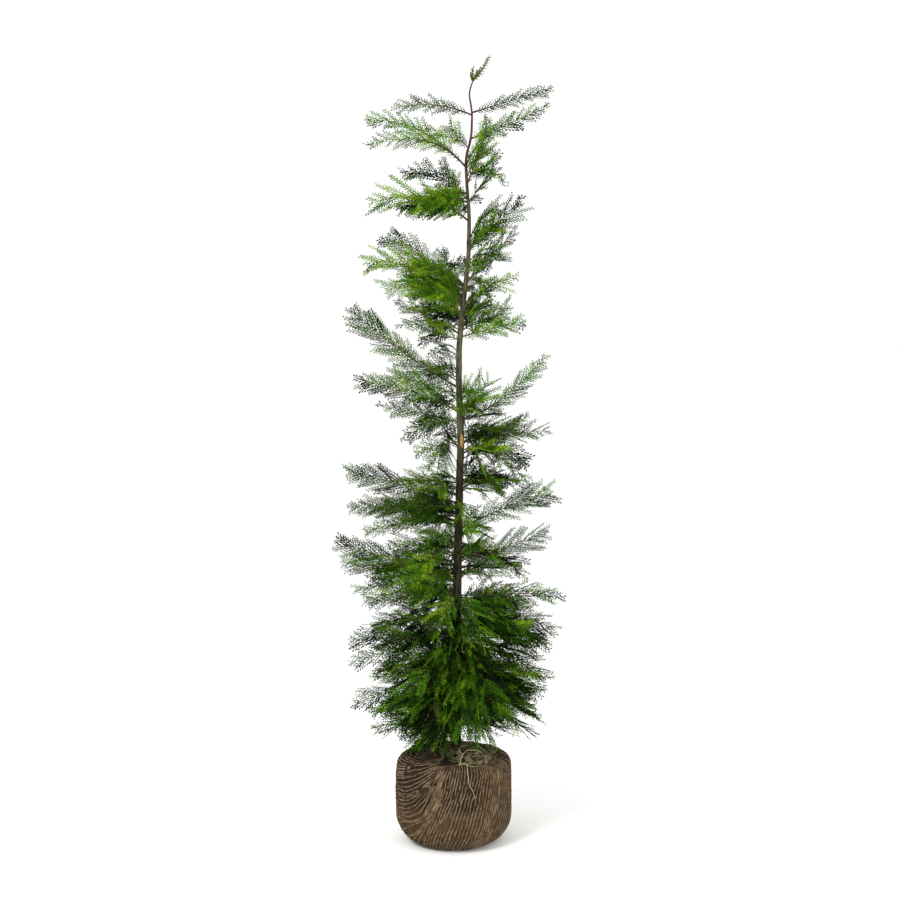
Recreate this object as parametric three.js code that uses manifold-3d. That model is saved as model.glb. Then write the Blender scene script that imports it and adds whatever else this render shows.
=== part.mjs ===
// A conifer sapling lifted with its root ball: a soil ball in a knitted jute net, the net's gathered
// neck round the foot of the stem, one slender trunk, its bare limb feet and the feathery foliage.
// Millimetres, +Z up, -Y is the front. The origin is the middle of the ball's flat underside.
import * as THREE from "three";
import { mergeVertices } from "three/addons/utils/BufferGeometryUtils.js";
import Module from "manifold-3d";

const wasm = await Module();
wasm.setup();

const GAP = 0.35; // clearance between solids that touch
const DEGREE = Math.PI / 180;

// Root ball
const BALL = {
  radius: 147, // from the swell above the foot to the shoulder
  foot: 82, // radius of the flat underside
  swell: 74, // height where the round foot reaches the full radius
  shoulder: 194, // height where the shoulder starts to turn in
  height: 228, // underside to the seat of the trunk
  seat: 34, // radius of the flat round the trunk
  lumps: 3, // unevenness of the packed soil
  sides: 24,
};

// Gathered neck of the net, with its loose tuft towards the front right
const NECK = { radius: 36, height: 26, tuftReach: 62, tuftHeading: -62, tuftRadius: 33, tuftHeight: 22 };

// Stem line of the trunk: height, then sideways and front-to-back offsets
const STEM = [
  [BALL.height + GAP, 3, 0],
  [364, 8, 2],
  [651, 8, -2],
  [883, 13, 0],
  [1036, 17, 2],
  [1188, 12, 0],
  [1276, 13, -2],
  [1364, 21, 0],
  [1490, 36, 2],
  [1602, 38, 0],
  [1701, 30, -2],
  [1743, 29, 0],
  [1794, 43, 0],
  [1853, 45, 0],
  [1908, 36, 0],
  [1934, 50, 0],
];

// Trunk radius by height: root flare, even taper, then the thin leader
const TAPER = [
  [BALL.height, 19],
  [262, 14.5],
  [500, 12.5],
  [900, 10],
  [1200, 8],
  [1400, 6.4],
  [1600, 4.6],
  [1750, 3.4],
  [1850, 2.6],
  [1934, 1.8],
];

// Limbs by the mass of foliage they carry, from the top down. Each row is one limb: its height on the
// trunk, heading (0 right, 90 back, 180 left, 270 front), reach, rise of the tip above the foot, how far
// its middle stands above the straight line, then the foliage's width, depth and turn out of level.
const SPRAYS = {
  "01_right": [[1854, 8, 220, 62, 0, 50, 30, 76]],
  "02_left": [[1848, 174, 216, 24, 8, 56, 32, 100]],
  "03_right": [[1790, -14, 212, 86, -4, 64, 36, 74]],
  "04_left": [[1768, 128, 84, 78, -8, 40, 28, 60], [1768, 164, 120, 58, 0, 36, 28, 80]],
  "05_left": [[1718, 176, 262, 118, 40, 50, 36, 76], [1718, 198, 284, 46, 40, 64, 38, 70]],
  "06_right": [
    [1676, -66, 150, 160, -4, 56, 40, 60],
    [1676, 24, 92, 88, -8, 46, 34, 80],
    [1676, -12, 102, -8, 38, 44, 34, 100],
  ],
  "07_left": [[1638, 144, 216, 70, 34, 72, 46, 66], [1626, 122, 150, 120, 8, 56, 38, 60]],
  "08_left": [[1584, 204, 292, 44, 30, 104, 52, 70]],
  "09_right": [[1524, 22, 146, 118, -4, 86, 46, 80]],
  "10_back": [[1606, 112, 210, 20, 8, 88, 50, 50], [1650, 66, 176, 60, 8, 70, 44, 50]],
  "11_right": [[1482, 48, 188, 86, -18, 70, 42, 70]],
  "12_right": [[1456, -32, 160, 12, -14, 48, 36, 84], [1452, -66, 136, -76, 24, 40, 34, 50]],
  "13_left": [[1390, 156, 232, 156, 34, 74, 46, 62], [1424, 122, 144, 104, 8, 50, 38, 60]],
  "14_left": [[1344, 204, 276, 138, 60, 92, 50, 68], [1334, 224, 276, 96, 36, 92, 52, 56]],
  "15_back": [[1324, 80, 214, 64, 6, 92, 54, 50], [1300, 116, 206, 70, 8, 80, 48, 50]],
  "16_left": [
    [1302, 154, 200, 80, 14, 56, 38, 76],
    [1284, 184, 158, 46, 10, 50, 36, 84],
    [1268, 194, 110, 14, 8, 40, 32, 80],
  ],
  "17_right": [
    [1296, -20, 182, 38, 4, 54, 40, 80],
    [1302, 30, 162, 80, 4, 64, 42, 74],
    [1334, 68, 90, 104, -2, 36, 30, 60],
  ],
  "18_left": [[1170, 180, 280, 200, 4, 84, 50, 72]],
  "19_right": [[1102, -65, 170, 102, -10, 86, 48, 50]],
  "20_left": [
    [1108, 176, 272, 78, 14, 74, 46, 84],
    [1144, 218, 226, 58, 26, 66, 44, 66],
    [1096, 144, 200, 36, 18, 58, 40, 70],
  ],
  "21_right": [[1086, 4, 210, 162, -28, 48, 34, 80]],
  "22_left": [[1070, 160, 228, 38, 2, 54, 40, 80], [1046, 182, 158, -6, 22, 66, 40, 80]],
  "23_right": [[1066, 38, 212, 40, 18, 68, 46, 70], [1010, -14, 238, 50, 8, 66, 46, 78]],
  "24_left": [
    [1032, 204, 132, -32, 8, 52, 38, 84],
    [1016, 226, 146, -56, 8, 56, 40, 80],
    [1006, 247, 130, -84, 20, 60, 40, 50],
  ],
  "25_back": [[1020, 70, 236, 24, 10, 100, 56, 50], [1046, 118, 222, 34, 10, 88, 52, 50]],
  "26_right": [
    [998, -18, 174, -26, 38, 60, 40, 84],
    [980, -38, 202, -42, 42, 66, 46, 80],
    [960, -50, 150, -42, 22, 72, 46, 60],
  ],
  "27_left": [[870, 182, 288, 86, 10, 66, 42, 78]],
  "28_left": [[826, 188, 284, 42, 24, 66, 44, 84], [800, 202, 262, 24, 30, 72, 46, 84]],
  "29_right": [[806, -4, 250, 100, 10, 66, 40, 78]],
  "30_front": [[874, 275, 180, -68, 32, 100, 50, 20]],
  "31_right": [[690, 8, 228, 106, 12, 56, 38, 80]],
  "32_left": [[690, 178, 308, 80, 2, 66, 42, 80], [680, 192, 300, 62, 6, 52, 40, 84]],
  "33_front": [[780, 229, 230, -100, 12, 70, 44, 40]],
  "34_right": [[728, -34, 202, -24, 40, 76, 48, 72]],
  "35_right": [[624, -8, 274, 26, 14, 52, 38, 84], [618, -32, 232, 0, 30, 56, 40, 80]],
  "36_back": [[728, 78, 262, -8, 12, 120, 62, 24], [770, 112, 256, 20, 12, 96, 56, 40]],
  "37_left": [
    [640, 184, 280, 56, 18, 56, 42, 84],
    [618, 198, 266, 46, 18, 62, 44, 84],
    [584, 170, 262, 0, 22, 60, 42, 84],
  ],
  left_high: [
    [542, 184, 286, -2, 8, 64, 54, 60],
    [520, 214, 252, 2, 18, 66, 48, 50],
    [494, 176, 294, -40, 12, 66, 54, 60],
  ],
  left_low: [
    [442, 188, 274, -74, 16, 66, 56, 60],
    [416, 204, 256, -72, 8, 64, 50, 50],
    [380, 226, 244, -72, 16, 72, 50, 40],
  ],
  right_high: [
    [612, -6, 254, -64, 22, 66, 52, 60],
    [586, -16, 268, -80, 24, 66, 50, 60],
    [540, 20, 222, -74, 6, 72, 50, 60],
  ],
  right_low: [
    [494, 2, 248, -90, 26, 66, 54, 60],
    [448, -18, 230, -60, 10, 66, 52, 60],
    [400, -36, 200, -84, 24, 72, 50, 40],
  ],
  front_high: [[630, 256, 210, -72, 40, 100, 50, 20], [610, 290, 204, -60, 36, 110, 54, -10]],
  front_left_low: [[482, 235, 220, -78, 34, 100, 56, 30], [410, 243, 204, -86, 20, 92, 52, 20]],
  front_low: [[396, 275, 204, -86, 34, 120, 56, 0]],
  front_right_low: [[482, 293, 220, -82, 40, 100, 56, -20], [416, -52, 204, -82, 20, 92, 52, -30]],
  back_right_high: [[600, 56, 250, -40, 26, 120, 60, 20], [560, 30, 250, -60, 24, 100, 56, 30]],
  back_left_high: [[612, 122, 250, -44, 26, 120, 60, -20], [570, 150, 256, -56, 24, 100, 56, -30]],
  back_right_low: [[460, 66, 236, -76, 32, 120, 64, 10], [420, 36, 230, -80, 26, 110, 60, 30]],
  back_left_low: [[470, 112, 240, -80, 32, 120, 64, -10], [428, 142, 240, -84, 26, 110, 60, -30]],
};

// How much of a limb's foot is bare, where it shows as a bough of its own
const BARE = {
  "01_right": 34,
  "05_left": 34,
  "06_right": 36,
  "21_right": 62,
  "27_left": 60,
  "29_right": 60,
  "33_front": 40,
};

const LEADER = { height: 70, lean: 44, fan: 30, thick: 18 }; // the young tip above the trunk
const FOOT_RADIUS = 3.6; // of a bare limb where it leaves the trunk
const FORK = 34; // side limbs of one mass fork off its first limb this far out, or at its bare end
const SOCKET = 16; // how far a bare limb foot runs on inside its foliage
const SEAT = 1.5; // how deep a limb is let into the trunk before it is cut to it
const FACETS = { round: 6, along: 5 }; // of each limb's foliage

const PAINT = {
  net: new THREE.MeshStandardMaterial({ color: 0x5b4630, roughness: 0.95, metalness: 0 }),
  bark: new THREE.MeshStandardMaterial({ color: 0x5a4a39, roughness: 0.9, metalness: 0 }),
  twig: new THREE.MeshStandardMaterial({ color: 0x6b3d36, roughness: 0.8, metalness: 0 }),
  leaf: new THREE.MeshStandardMaterial({ color: 0x3f6a1c, roughness: 0.75, metalness: 0 }),
};

// Even random numbers from 0 to 1, the same ones each time for one name
function dice(name) {
  let state = [...name].reduce((sum, letter) => (sum * 31 + letter.charCodeAt(0)) >>> 0, 7);
  return () => {
    state = (state + 0x6d2b79f5) >>> 0;
    let mixed = Math.imul(state ^ (state >>> 15), 1 | state);
    mixed = (mixed + Math.imul(mixed ^ (mixed >>> 7), 61 | mixed)) ^ mixed;
    return ((mixed ^ (mixed >>> 14)) >>> 0) / 4294967296;
  };
}

// Straight-line reading of a table of [place, value] rows
function readTable(table, place) {
  const next = table.findIndex((row) => row[0] >= place);
  if (next === 0) return table[0][1];
  if (next < 0) return table.at(-1)[1];
  const [low, high] = [table[next - 1], table[next]];
  return low[1] + ((high[1] - low[1]) * (place - low[0])) / (high[0] - low[0]);
}

function solidOf(geometry) {
  const bare = geometry.clone();
  bare.deleteAttribute("normal");
  bare.deleteAttribute("uv");
  const merged = mergeVertices(bare, 1e-3);
  return new wasm.Manifold(
    new wasm.Mesh({
      numProp: 3,
      vertProperties: merged.attributes.position.array,
      triVerts: new Uint32Array(merged.index.array),
    }),
  );
}

// The same geometry pushed outwards by the clearance, to cut its neighbours with
function withClearance(geometry) {
  const bare = geometry.clone();
  bare.deleteAttribute("normal");
  bare.deleteAttribute("uv");
  const merged = mergeVertices(bare, 1e-3);
  merged.computeVertexNormals();
  const { position, normal } = merged.attributes;
  for (let i = 0; i < position.count; i++) {
    position.setXYZ(
      i,
      position.getX(i) + normal.getX(i) * GAP,
      position.getY(i) + normal.getY(i) * GAP,
      position.getZ(i) + normal.getZ(i) * GAP,
    );
  }
  return solidOf(merged);
}

function meshOf(name, solid, material) {
  const { vertProperties, triVerts } = solid.getMesh();
  const geometry = new THREE.BufferGeometry();
  geometry.setAttribute("position", new THREE.BufferAttribute(vertProperties, 3));
  geometry.setIndex(new THREE.BufferAttribute(triVerts, 1));
  geometry.computeVertexNormals();
  const mesh = new THREE.Mesh(geometry, material);
  mesh.name = name;
  return mesh;
}

// Lays a unit geometry along a curve. place(y) is the curve's parameter for a height in the unit
// geometry, and section(t, angle) the half-widths [across, through] there. The across axis is level
// before it is rolled, unless the curve climbs the Z axis, where it runs along X.
function layAlong(geometry, curve, roll, place, section) {
  const { position } = geometry.attributes;
  const upright = Math.abs(curve.getTangent(0.2).z) > 0.93;
  const hint = upright ? new THREE.Vector3(0, 1, 0) : new THREE.Vector3(0, 0, 1);
  for (let i = 0; i < position.count; i++) {
    const t = THREE.MathUtils.clamp(place(position.getY(i)), 0, 1);
    const tangent = curve.getTangent(t);
    const across = tangent.clone().cross(hint).normalize();
    const through = across.clone().cross(tangent);
    const angle = Math.atan2(position.getZ(i), position.getX(i));
    const onAxis = Math.hypot(position.getX(i), position.getZ(i)) < 1e-5;
    const [wide, deep] = onAxis ? [0, 0] : section(t, angle);
    const [a, b] = [wide * Math.cos(angle), deep * Math.sin(angle)];
    const point = curve
      .getPoint(t)
      .addScaledVector(across, a * Math.cos(roll) - b * Math.sin(roll))
      .addScaledVector(through, a * Math.sin(roll) + b * Math.cos(roll));
    position.setXYZ(i, point.x, point.y, point.z);
  }
  return geometry;
}

// --- Root ball and net ---

// Radius factor of the packed soil in one direction
function lump(angle, height) {
  return (
    Math.sin(2 * angle + 0.6) * 0.45 +
    Math.sin(3 * angle - height / 60) * 0.35 +
    Math.sin(5 * angle + height / 34) * 0.2
  );
}

function rootBall() {
  const { radius, foot, swell, shoulder, height, seat, lumps, sides } = BALL;
  const side = new THREE.Path();
  side.moveTo(0, 0);
  side.lineTo(foot, 0);
  side.bezierCurveTo(foot + 36, 2, radius, swell * 0.42, radius, swell);
  side.bezierCurveTo(radius + 1, swell + 40, radius + 1, shoulder - 40, radius - 1, shoulder);
  side.bezierCurveTo(radius - 2, shoulder + 22, radius - 12, height - 5, radius - 42, height - 3);
  side.lineTo(seat, height);
  side.lineTo(0, height);
  const geometry = new THREE.LatheGeometry(side.getPoints(4), sides);
  const { position } = geometry.attributes;
  for (let i = 0; i < position.count; i++) {
    const [x, up, z] = [position.getX(i), position.getY(i), position.getZ(i)];
    const reach = Math.hypot(x, z);
    const angle = Math.atan2(-z, x);
    const loose = up < 1 || reach <= seat + 1 ? 0 : 1;
    const grown = reach > 1e-6 ? (reach + loose * lumps * lump(angle, up)) / reach : 1;
    position.setXYZ(i, x * grown, -z * grown, up);
  }
  return geometry;
}

function netNeck(cutters) {
  const { radius, height, tuftReach, tuftHeading, tuftRadius, tuftHeight } = NECK;
  const roll = dice("net");
  const bump = (geometry, size) => {
    const { position } = geometry.attributes;
    const [first, second] = [roll() * 6, roll() * 6];
    for (let i = 0; i < position.count; i++) {
      const angle = Math.atan2(position.getY(i), position.getX(i));
      const grown = 1 + size * (Math.sin(3 * angle + first) + Math.sin(5 * angle + second));
      position.setXYZ(i, position.getX(i) * grown, position.getY(i) * grown, position.getZ(i));
    }
    return geometry;
  };
  const collar = bump(new THREE.SphereGeometry(1, 9, 5).rotateX(Math.PI / 2), 0.05);
  collar.scale(radius, radius, height);
  collar.translate(STEM[0][1], 0, BALL.height + 4);
  const tuft = bump(new THREE.SphereGeometry(1, 9, 5).rotateX(Math.PI / 2), 0.08);
  tuft.scale(tuftRadius * 1.3, tuftRadius, tuftHeight);
  tuft.translate(
    tuftReach * Math.cos(tuftHeading * DEGREE),
    tuftReach * Math.sin(tuftHeading * DEGREE),
    BALL.height + 2,
  );
  return cutters.reduce((left, cutter) => left.subtract(cutter), solidOf(collar).add(solidOf(tuft)));
}

// --- Trunk ---

const stemLine = new THREE.CatmullRomCurve3(
  STEM.map(([height, sideways, back]) => new THREE.Vector3(sideways, back, height)),
  false,
  "centripetal",
);

// Where the stem line is at a height, found by halving
function stemAt(height) {
  let [low, high] = [0, 1];
  for (let i = 0; i < 30; i++) {
    const middle = (low + high) / 2;
    if (stemLine.getPoint(middle).z < height) low = middle;
    else high = middle;
  }
  return stemLine.getPoint(low);
}

function trunk() {
  const round = (t) => {
    const radius = readTable(TAPER, stemLine.getPoint(t).z);
    return [radius, radius];
  };
  const geometry = new THREE.CylinderGeometry(1, 1, 1, 8, 28);
  layAlong(geometry, stemLine, 0, (y) => y + 0.5, round);
  // The foot is cut level where it stands on the ball
  const { position } = geometry.attributes;
  const level = STEM[0][0];
  for (let i = 0; i < position.count; i++) {
    if (position.getZ(i) < level + 2) position.setZ(i, level);
  }
  return geometry;
}

// --- Limbs and foliage ---

function limbLine([height, heading, reach, rise, bow]) {
  const foot = stemAt(height);
  const away = new THREE.Vector3(Math.cos(heading * DEGREE), Math.sin(heading * DEGREE), 0);
  const tip = foot.clone().addScaledVector(away, reach).setZ(height + rise);
  const middle = foot.clone().lerp(tip, 0.5).setZ(height + rise / 2 + 2 * bow);
  return new THREE.QuadraticBezierCurve3(foot, middle, tip);
}

// A side limb of the same mass, which forks off the main one
function forkLine(main, away, row) {
  const fork = main.getPointAt(away / main.getLength());
  const { v1: middle, v2: tip } = limbLine(row);
  return new THREE.QuadraticBezierCurve3(fork, middle.lerp(fork, 0.2), tip);
}

// The bare foot of a limb, from the middle of the trunk to just inside its foliage
function bareFoot(line, bare) {
  const end = (bare + SOCKET) / line.getLength();
  const round = (t) => {
    const radius = FOOT_RADIUS * (1 - 0.35 * (t / end));
    return [radius, radius];
  };
  return layAlong(new THREE.CylinderGeometry(1, 1, 1, 6, 3), line, 0, (y) => (y + 0.5) * end, round);
}

// Foliage outline along a limb: a narrow foot, its broadest a third of the way out, then a long point
function outline(s) {
  const swell = Math.sin(Math.PI * Math.pow(s, 0.72)) ** 0.85;
  return Math.max(swell, 0.16 * (1 - s));
}

// Foliage along one limb's line, uneven in its own way
function foliage(name, line, [fan, thick, roll], start) {
  const chance = dice(name);
  const [a, b, c] = [chance() * 6, chance() * 6, chance() * 6];
  const section = (t, angle) => {
    const s = (t - start) / (1 - start);
    const waves = 0.13 * Math.sin(9 * s + a) + 0.1 * Math.sin(2 * angle + 5 * s + b);
    const size = outline(s) * (1 + waves + 0.07 * Math.sin(3 * angle + c));
    return [(fan / 2) * size, (thick / 2) * size];
  };
  const unit = new THREE.SphereGeometry(1, FACETS.round, FACETS.along);
  const place = (y) => start + (1 - start) * (1 - Math.acos(THREE.MathUtils.clamp(y, -1, 1)) / Math.PI);
  return layAlong(unit, line, roll * DEGREE, place, section);
}

function leaderTuft() {
  const { height, lean, fan, thick } = LEADER;
  const top = stemLine.getPoint(1);
  const line = new THREE.LineCurve3(top, top.clone().add(new THREE.Vector3(lean, 0, height)));
  return foliage("leader", line, [fan, thick, 0], 0);
}

// The part of a cut solid that still reaches its limb's foot
function mainPart(solid, foot) {
  const nearness = (part) => {
    const { min, max } = part.boundingBox();
    const gap = ["x", "y", "z"].map((axis, i) => Math.max(min[i] - foot[axis], foot[axis] - max[i], 0));
    return Math.hypot(...gap);
  };
  const parts = solid.decompose().filter((part) => part.volume() > 0.08 * solid.volume());
  return parts.sort((one, other) => nearness(one) - nearness(other))[0];
}

const tree = new THREE.Group();
const ballGeometry = rootBall();
const trunkGeometry = trunk();
const ballClearance = withClearance(ballGeometry);
const trunkClearance = withClearance(trunkGeometry);
const neckSolid = netNeck([ballClearance, trunkClearance]);
tree.add(meshOf("root_ball", solidOf(ballGeometry), PAINT.net));
tree.add(meshOf("net_neck", neckSolid, PAINT.net));
tree.add(meshOf("trunk", solidOf(trunkGeometry), PAINT.bark));

const neckClearance = withClearance(meshOf("", neckSolid, PAINT.net).geometry);
const placed = [trunkClearance, ballClearance, neckClearance];
const cutByPlaced = (geometry) => placed.reduce((left, cutter) => left.subtract(cutter), solidOf(geometry));
for (const [key, bare] of Object.entries(BARE)) {
  const line = limbLine(SPRAYS[key][0]);
  const geometry = bareFoot(line, bare);
  tree.add(meshOf(`bough_${key}`, mainPart(cutByPlaced(geometry), line.getPoint(0)), PAINT.twig));
  placed.push(withClearance(geometry));
}

const leader = leaderTuft();
tree.add(meshOf("spray_00_leader", cutByPlaced(leader), PAINT.leaf));
placed.push(withClearance(leader));
for (const [key, rows] of Object.entries(SPRAYS)) {
  const main = limbLine(rows[0]);
  const bare = BARE[key] ?? readTable(TAPER, rows[0][0]) - SEAT;
  const away = Math.max(bare, FORK);
  const parts = rows.map((row, i) => {
    const line = i ? forkLine(main, away, row) : main;
    return foliage(key + i, line, row.slice(5), i ? 0 : bare / main.getLength());
  });
  const cut = wasm.Manifold.union(parts.map(cutByPlaced));
  const foot = main.getPointAt(bare / main.getLength());
  tree.add(meshOf((/^\d/.test(key) ? "spray_" : "skirt_") + key, mainPart(cut, foot), PAINT.leaf));
  placed.push(wasm.Manifold.union(parts.map(withClearance)));
}

export default tree;
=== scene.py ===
# A conifer sapling lifted with its root ball: feathery sprays of scale leaves on thin limbs, one slender
# trunk, and a soil ball in a knitted jute net. Metres, +Z up, -Y is the front, and the origin is the
# middle of the ball's flat underside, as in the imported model.
import math

import bpy
import numpy as np
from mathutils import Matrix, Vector


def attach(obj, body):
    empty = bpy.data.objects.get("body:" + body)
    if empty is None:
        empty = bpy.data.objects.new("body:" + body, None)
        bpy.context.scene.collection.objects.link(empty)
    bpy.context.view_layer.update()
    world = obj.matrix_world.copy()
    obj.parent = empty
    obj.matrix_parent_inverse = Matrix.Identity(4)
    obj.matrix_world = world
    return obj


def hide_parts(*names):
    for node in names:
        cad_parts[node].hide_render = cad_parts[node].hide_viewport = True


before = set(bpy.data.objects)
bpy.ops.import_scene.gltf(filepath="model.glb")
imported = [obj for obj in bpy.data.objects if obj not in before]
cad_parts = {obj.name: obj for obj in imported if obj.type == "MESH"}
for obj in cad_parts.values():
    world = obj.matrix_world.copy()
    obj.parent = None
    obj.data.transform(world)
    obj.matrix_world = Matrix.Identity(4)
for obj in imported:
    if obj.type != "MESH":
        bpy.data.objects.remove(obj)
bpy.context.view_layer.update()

SEED = 2024
BODY = "root"

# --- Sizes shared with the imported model, in metres and degrees ---

BALL_RADIUS = 0.147
BALL_FOOT = 0.082  # radius of the flat underside
BALL_SWELL = 0.074  # height where the round foot reaches the full radius
BALL_SHOULDER = 0.194  # height where the shoulder starts to turn in
BALL_HEIGHT = 0.228
BALL_SEAT = 0.034  # radius of the flat round the trunk
BALL_LUMPS = 0.003  # unevenness of the packed soil

# Stem line of the trunk: height, then sideways and front-to-back offsets
STEM = [
    (0.228, 0.003, 0.0), (0.364, 0.008, 0.002), (0.651, 0.008, -0.002), (0.883, 0.013, 0.0),
    (1.036, 0.017, 0.002), (1.188, 0.012, 0.0), (1.276, 0.013, -0.002), (1.364, 0.021, 0.0),
    (1.490, 0.036, 0.002), (1.602, 0.038, 0.0), (1.701, 0.030, -0.002), (1.743, 0.029, 0.0),
    (1.794, 0.043, 0.0), (1.853, 0.045, 0.0), (1.908, 0.036, 0.0), (1.934, 0.050, 0.0),
]

# Trunk radius by height: root flare, even taper, then the thin leader
TAPER = [
    (0.228, 0.019), (0.262, 0.0145), (0.500, 0.0125), (0.900, 0.0100), (1.200, 0.0080),
    (1.400, 0.0064), (1.600, 0.0046), (1.750, 0.0034), (1.850, 0.0026), (1.934, 0.0018),
]

# Limbs by the mass of foliage they carry, from the top down, with that mass's mix of greens. Each row is
# one limb. In degrees: its heading (0 right, 90 back, 180 left, 270 front) and the foliage's turn out of
# level. In millimetres: its height on the trunk, reach, rise of the tip above the foot, how far its middle
# stands above the straight line, and the foliage's width.
LIMBS = {
    "01_right": ("grey", [(8, 80, 1854, 220, 64, 2, 46)]),
    "02_left": ("grey", [(174, 90, 1848, 220, 12, 22, 50)]),
    "03_right": ("mid", [(-14, 74, 1790, 212, 84, -4, 56)]),
    "04_left": ("mid", [(128, 70, 1768, 84, 78, -8, 50), (164, 80, 1768, 120, 58, 0, 36)]),
    "05_left": ("bright", [(176, 80, 1720, 270, 110, 46, 58), (198, 74, 1718, 284, 44, 46, 62)]),
    "06_right": ("bright", [
        (-66, 60, 1676, 150, 160, -4, 56), (24, 80, 1676, 100, 88, -8, 44),
        (-12, 100, 1676, 114, -8, 36, 44)
    ]),
    "07_left": ("dark", [(144, 66, 1638, 216, 70, 34, 72), (122, 60, 1626, 150, 120, 8, 56)]),
    "08_left": ("bright", [(197, 80, 1586, 270, 36, 40, 112)]),
    "09_right": ("mid", [(22, 80, 1524, 146, 118, -4, 92)]),
    "10_back": ("dark", [(112, 50, 1606, 210, 20, 8, 88), (66, 50, 1650, 176, 60, 8, 70)]),
    "11_right": ("dark", [(48, 76, 1482, 188, 86, -18, 84)]),
    "12_right": ("fresh", [(-32, 84, 1450, 160, 10, -24, 54), (-66, 50, 1452, 136, -76, 24, 40)]),
    "13_left": ("dark", [(156, 62, 1390, 232, 156, 34, 74), (122, 60, 1424, 144, 104, 8, 50)]),
    "14_left": ("bright", [(204, 72, 1344, 268, 124, 66, 86), (222, 60, 1334, 270, 78, 40, 92)]),
    "15_back": ("dark", [(80, 50, 1324, 214, 64, 6, 92), (116, 50, 1300, 206, 70, 8, 80)]),
    "16_left": ("mid", [
        (154, 76, 1302, 200, 80, 14, 56), (184, 84, 1284, 158, 46, 10, 50),
        (194, 80, 1268, 110, 14, 8, 40)
    ]),
    "17_right": ("fresh", [
        (-20, 80, 1296, 182, 38, 4, 54), (30, 74, 1302, 162, 80, 4, 64), (68, 60, 1334, 90, 104, -2, 36)
    ]),
    "18_left": ("mid", [(180, 80, 1168, 282, 204, -14, 88)]),
    "19_right": ("bright", [(-65, 50, 1102, 170, 102, -10, 86)]),
    "20_left": ("fresh", [
        (176, 84, 1106, 266, 78, 16, 64), (218, 66, 1144, 226, 58, 26, 66),
        (144, 70, 1096, 200, 36, 18, 46)
    ]),
    "21_right": ("mid", [(4, 84, 1086, 226, 172, -29, 54)]),
    "22_left": ("mid", [(160, 80, 1080, 228, 38, 4, 54), (182, 80, 1046, 158, -8, 20, 56)]),
    "23_right": ("mid", [(14, 74, 1042, 192, 60, -18, 54), (-14, 80, 1014, 238, 50, 10, 66)]),
    "24_left": ("mid", [
        (204, 84, 1032, 132, -32, 8, 52), (226, 80, 1016, 146, -56, 8, 56),
        (247, 50, 1006, 130, -84, 20, 60)
    ]),
    "25_back": ("dark", [(70, 50, 1020, 236, 24, 10, 100), (118, 50, 1046, 222, 34, 10, 88)]),
    "26_right": ("dark", [
        (-18, 84, 998, 188, -26, 38, 60), (-38, 80, 980, 218, -42, 42, 66),
        (-50, 60, 960, 150, -42, 22, 72)
    ]),
    "27_left": ("mid", [(182, 86, 872, 290, 82, 10, 74)]),
    "28_left": ("grey", [(186, 84, 826, 290, 36, 20, 64), (200, 84, 796, 262, 16, 22, 54)]),
    "29_right": ("mid", [(-4, 84, 808, 242, 94, 10, 80)]),
    "30_front": ("bright", [(275, 20, 874, 180, -68, 32, 100)]),
    "31_right": ("mid", [(6, 84, 690, 232, 102, 12, 84)]),
    "32_left": ("mid", [(178, 84, 690, 314, 78, 2, 80), (190, 84, 676, 304, 52, 6, 70)]),
    "33_front": ("bright", [(229, 40, 780, 230, -100, 12, 70)]),
    "34_right": ("fresh", [(-34, 72, 728, 202, -24, 40, 76)]),
    "35_right": ("mid", [(-8, 84, 620, 276, 22, 14, 64), (-32, 80, 618, 232, 0, 30, 56)]),
    "36_back": ("dark", [(78, 24, 728, 250, -8, 12, 120), (112, 40, 770, 256, 20, 12, 96)]),
    "37_left": ("mid", [
        (184, 84, 632, 278, 18, 26, 56), (198, 84, 626, 266, 8, 24, 62), (170, 84, 594, 262, 6, 20, 56)
    ]),
    "left_high": ("skirt", [
        (184, 74, 542, 292, -20, 6, 76), (214, 50, 520, 252, 2, 18, 66), (176, 74, 494, 298, -40, 10, 72)
    ]),
    "left_low": ("skirt", [
        (188, 74, 438, 280, -80, 4, 76), (204, 50, 416, 256, -72, 8, 64), (226, 40, 380, 244, -50, 16, 72)
    ]),
    "right_high": ("skirt", [
        (-6, 60, 612, 266, -66, 20, 66), (-16, 60, 586, 258, -80, 22, 66), (20, 60, 540, 222, -74, 6, 72)
    ]),
    "right_low": ("skirt", [
        (2, 70, 494, 248, -86, 26, 86), (-16, 70, 448, 240, -60, 10, 80), (-34, 50, 400, 232, -22, 16, 72)
    ]),
    "front_high": ("skirt", [(256, 20, 630, 210, -72, 40, 100), (290, -10, 610, 204, -60, 36, 110)]),
    "front_left_low": ("skirt", [(235, 30, 482, 220, -78, 34, 100), (243, 20, 410, 204, -86, 20, 92)]),
    "front_low": ("skirt", [(275, 0, 396, 204, -86, 34, 120)]),
    "front_right_low": ("skirt", [(293, -20, 482, 220, -82, 40, 100), (-52, -30, 416, 204, -70, 20, 92)]),
    "back_right_high": ("skirt", [(56, 20, 600, 250, -40, 26, 120), (30, 30, 560, 250, -60, 24, 100)]),
    "back_left_high": ("skirt", [(122, -20, 612, 250, -44, 26, 120), (150, -30, 570, 256, -56, 24, 100)]),
    "back_right_low": ("dark", [(66, 10, 460, 236, -76, 32, 120), (36, 30, 420, 230, -80, 26, 110)]),
    "back_left_low": ("dark", [(112, -10, 470, 240, -80, 32, 120), (142, -30, 428, 240, -84, 26, 110)]),
}

# How much of a limb's foot is bare, where it shows as a bough of its own
BARE = {
    "01_right": 0.034, "05_left": 0.034, "06_right": 0.036, "21_right": 0.062,
    "27_left": 0.060, "29_right": 0.044, "33_front": 0.040,
}
BARE_FOOT = 0.012  # of every other limb
FORK = 0.034  # side limbs of one mass fork off its first limb this far out, or at its bare end

# Corners of the box that the tips stay inside
CROWN_LOW = (-0.318, -0.223, 0.21)
CROWN_HIGH = (0.299, 0.272, 2.004)

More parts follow.
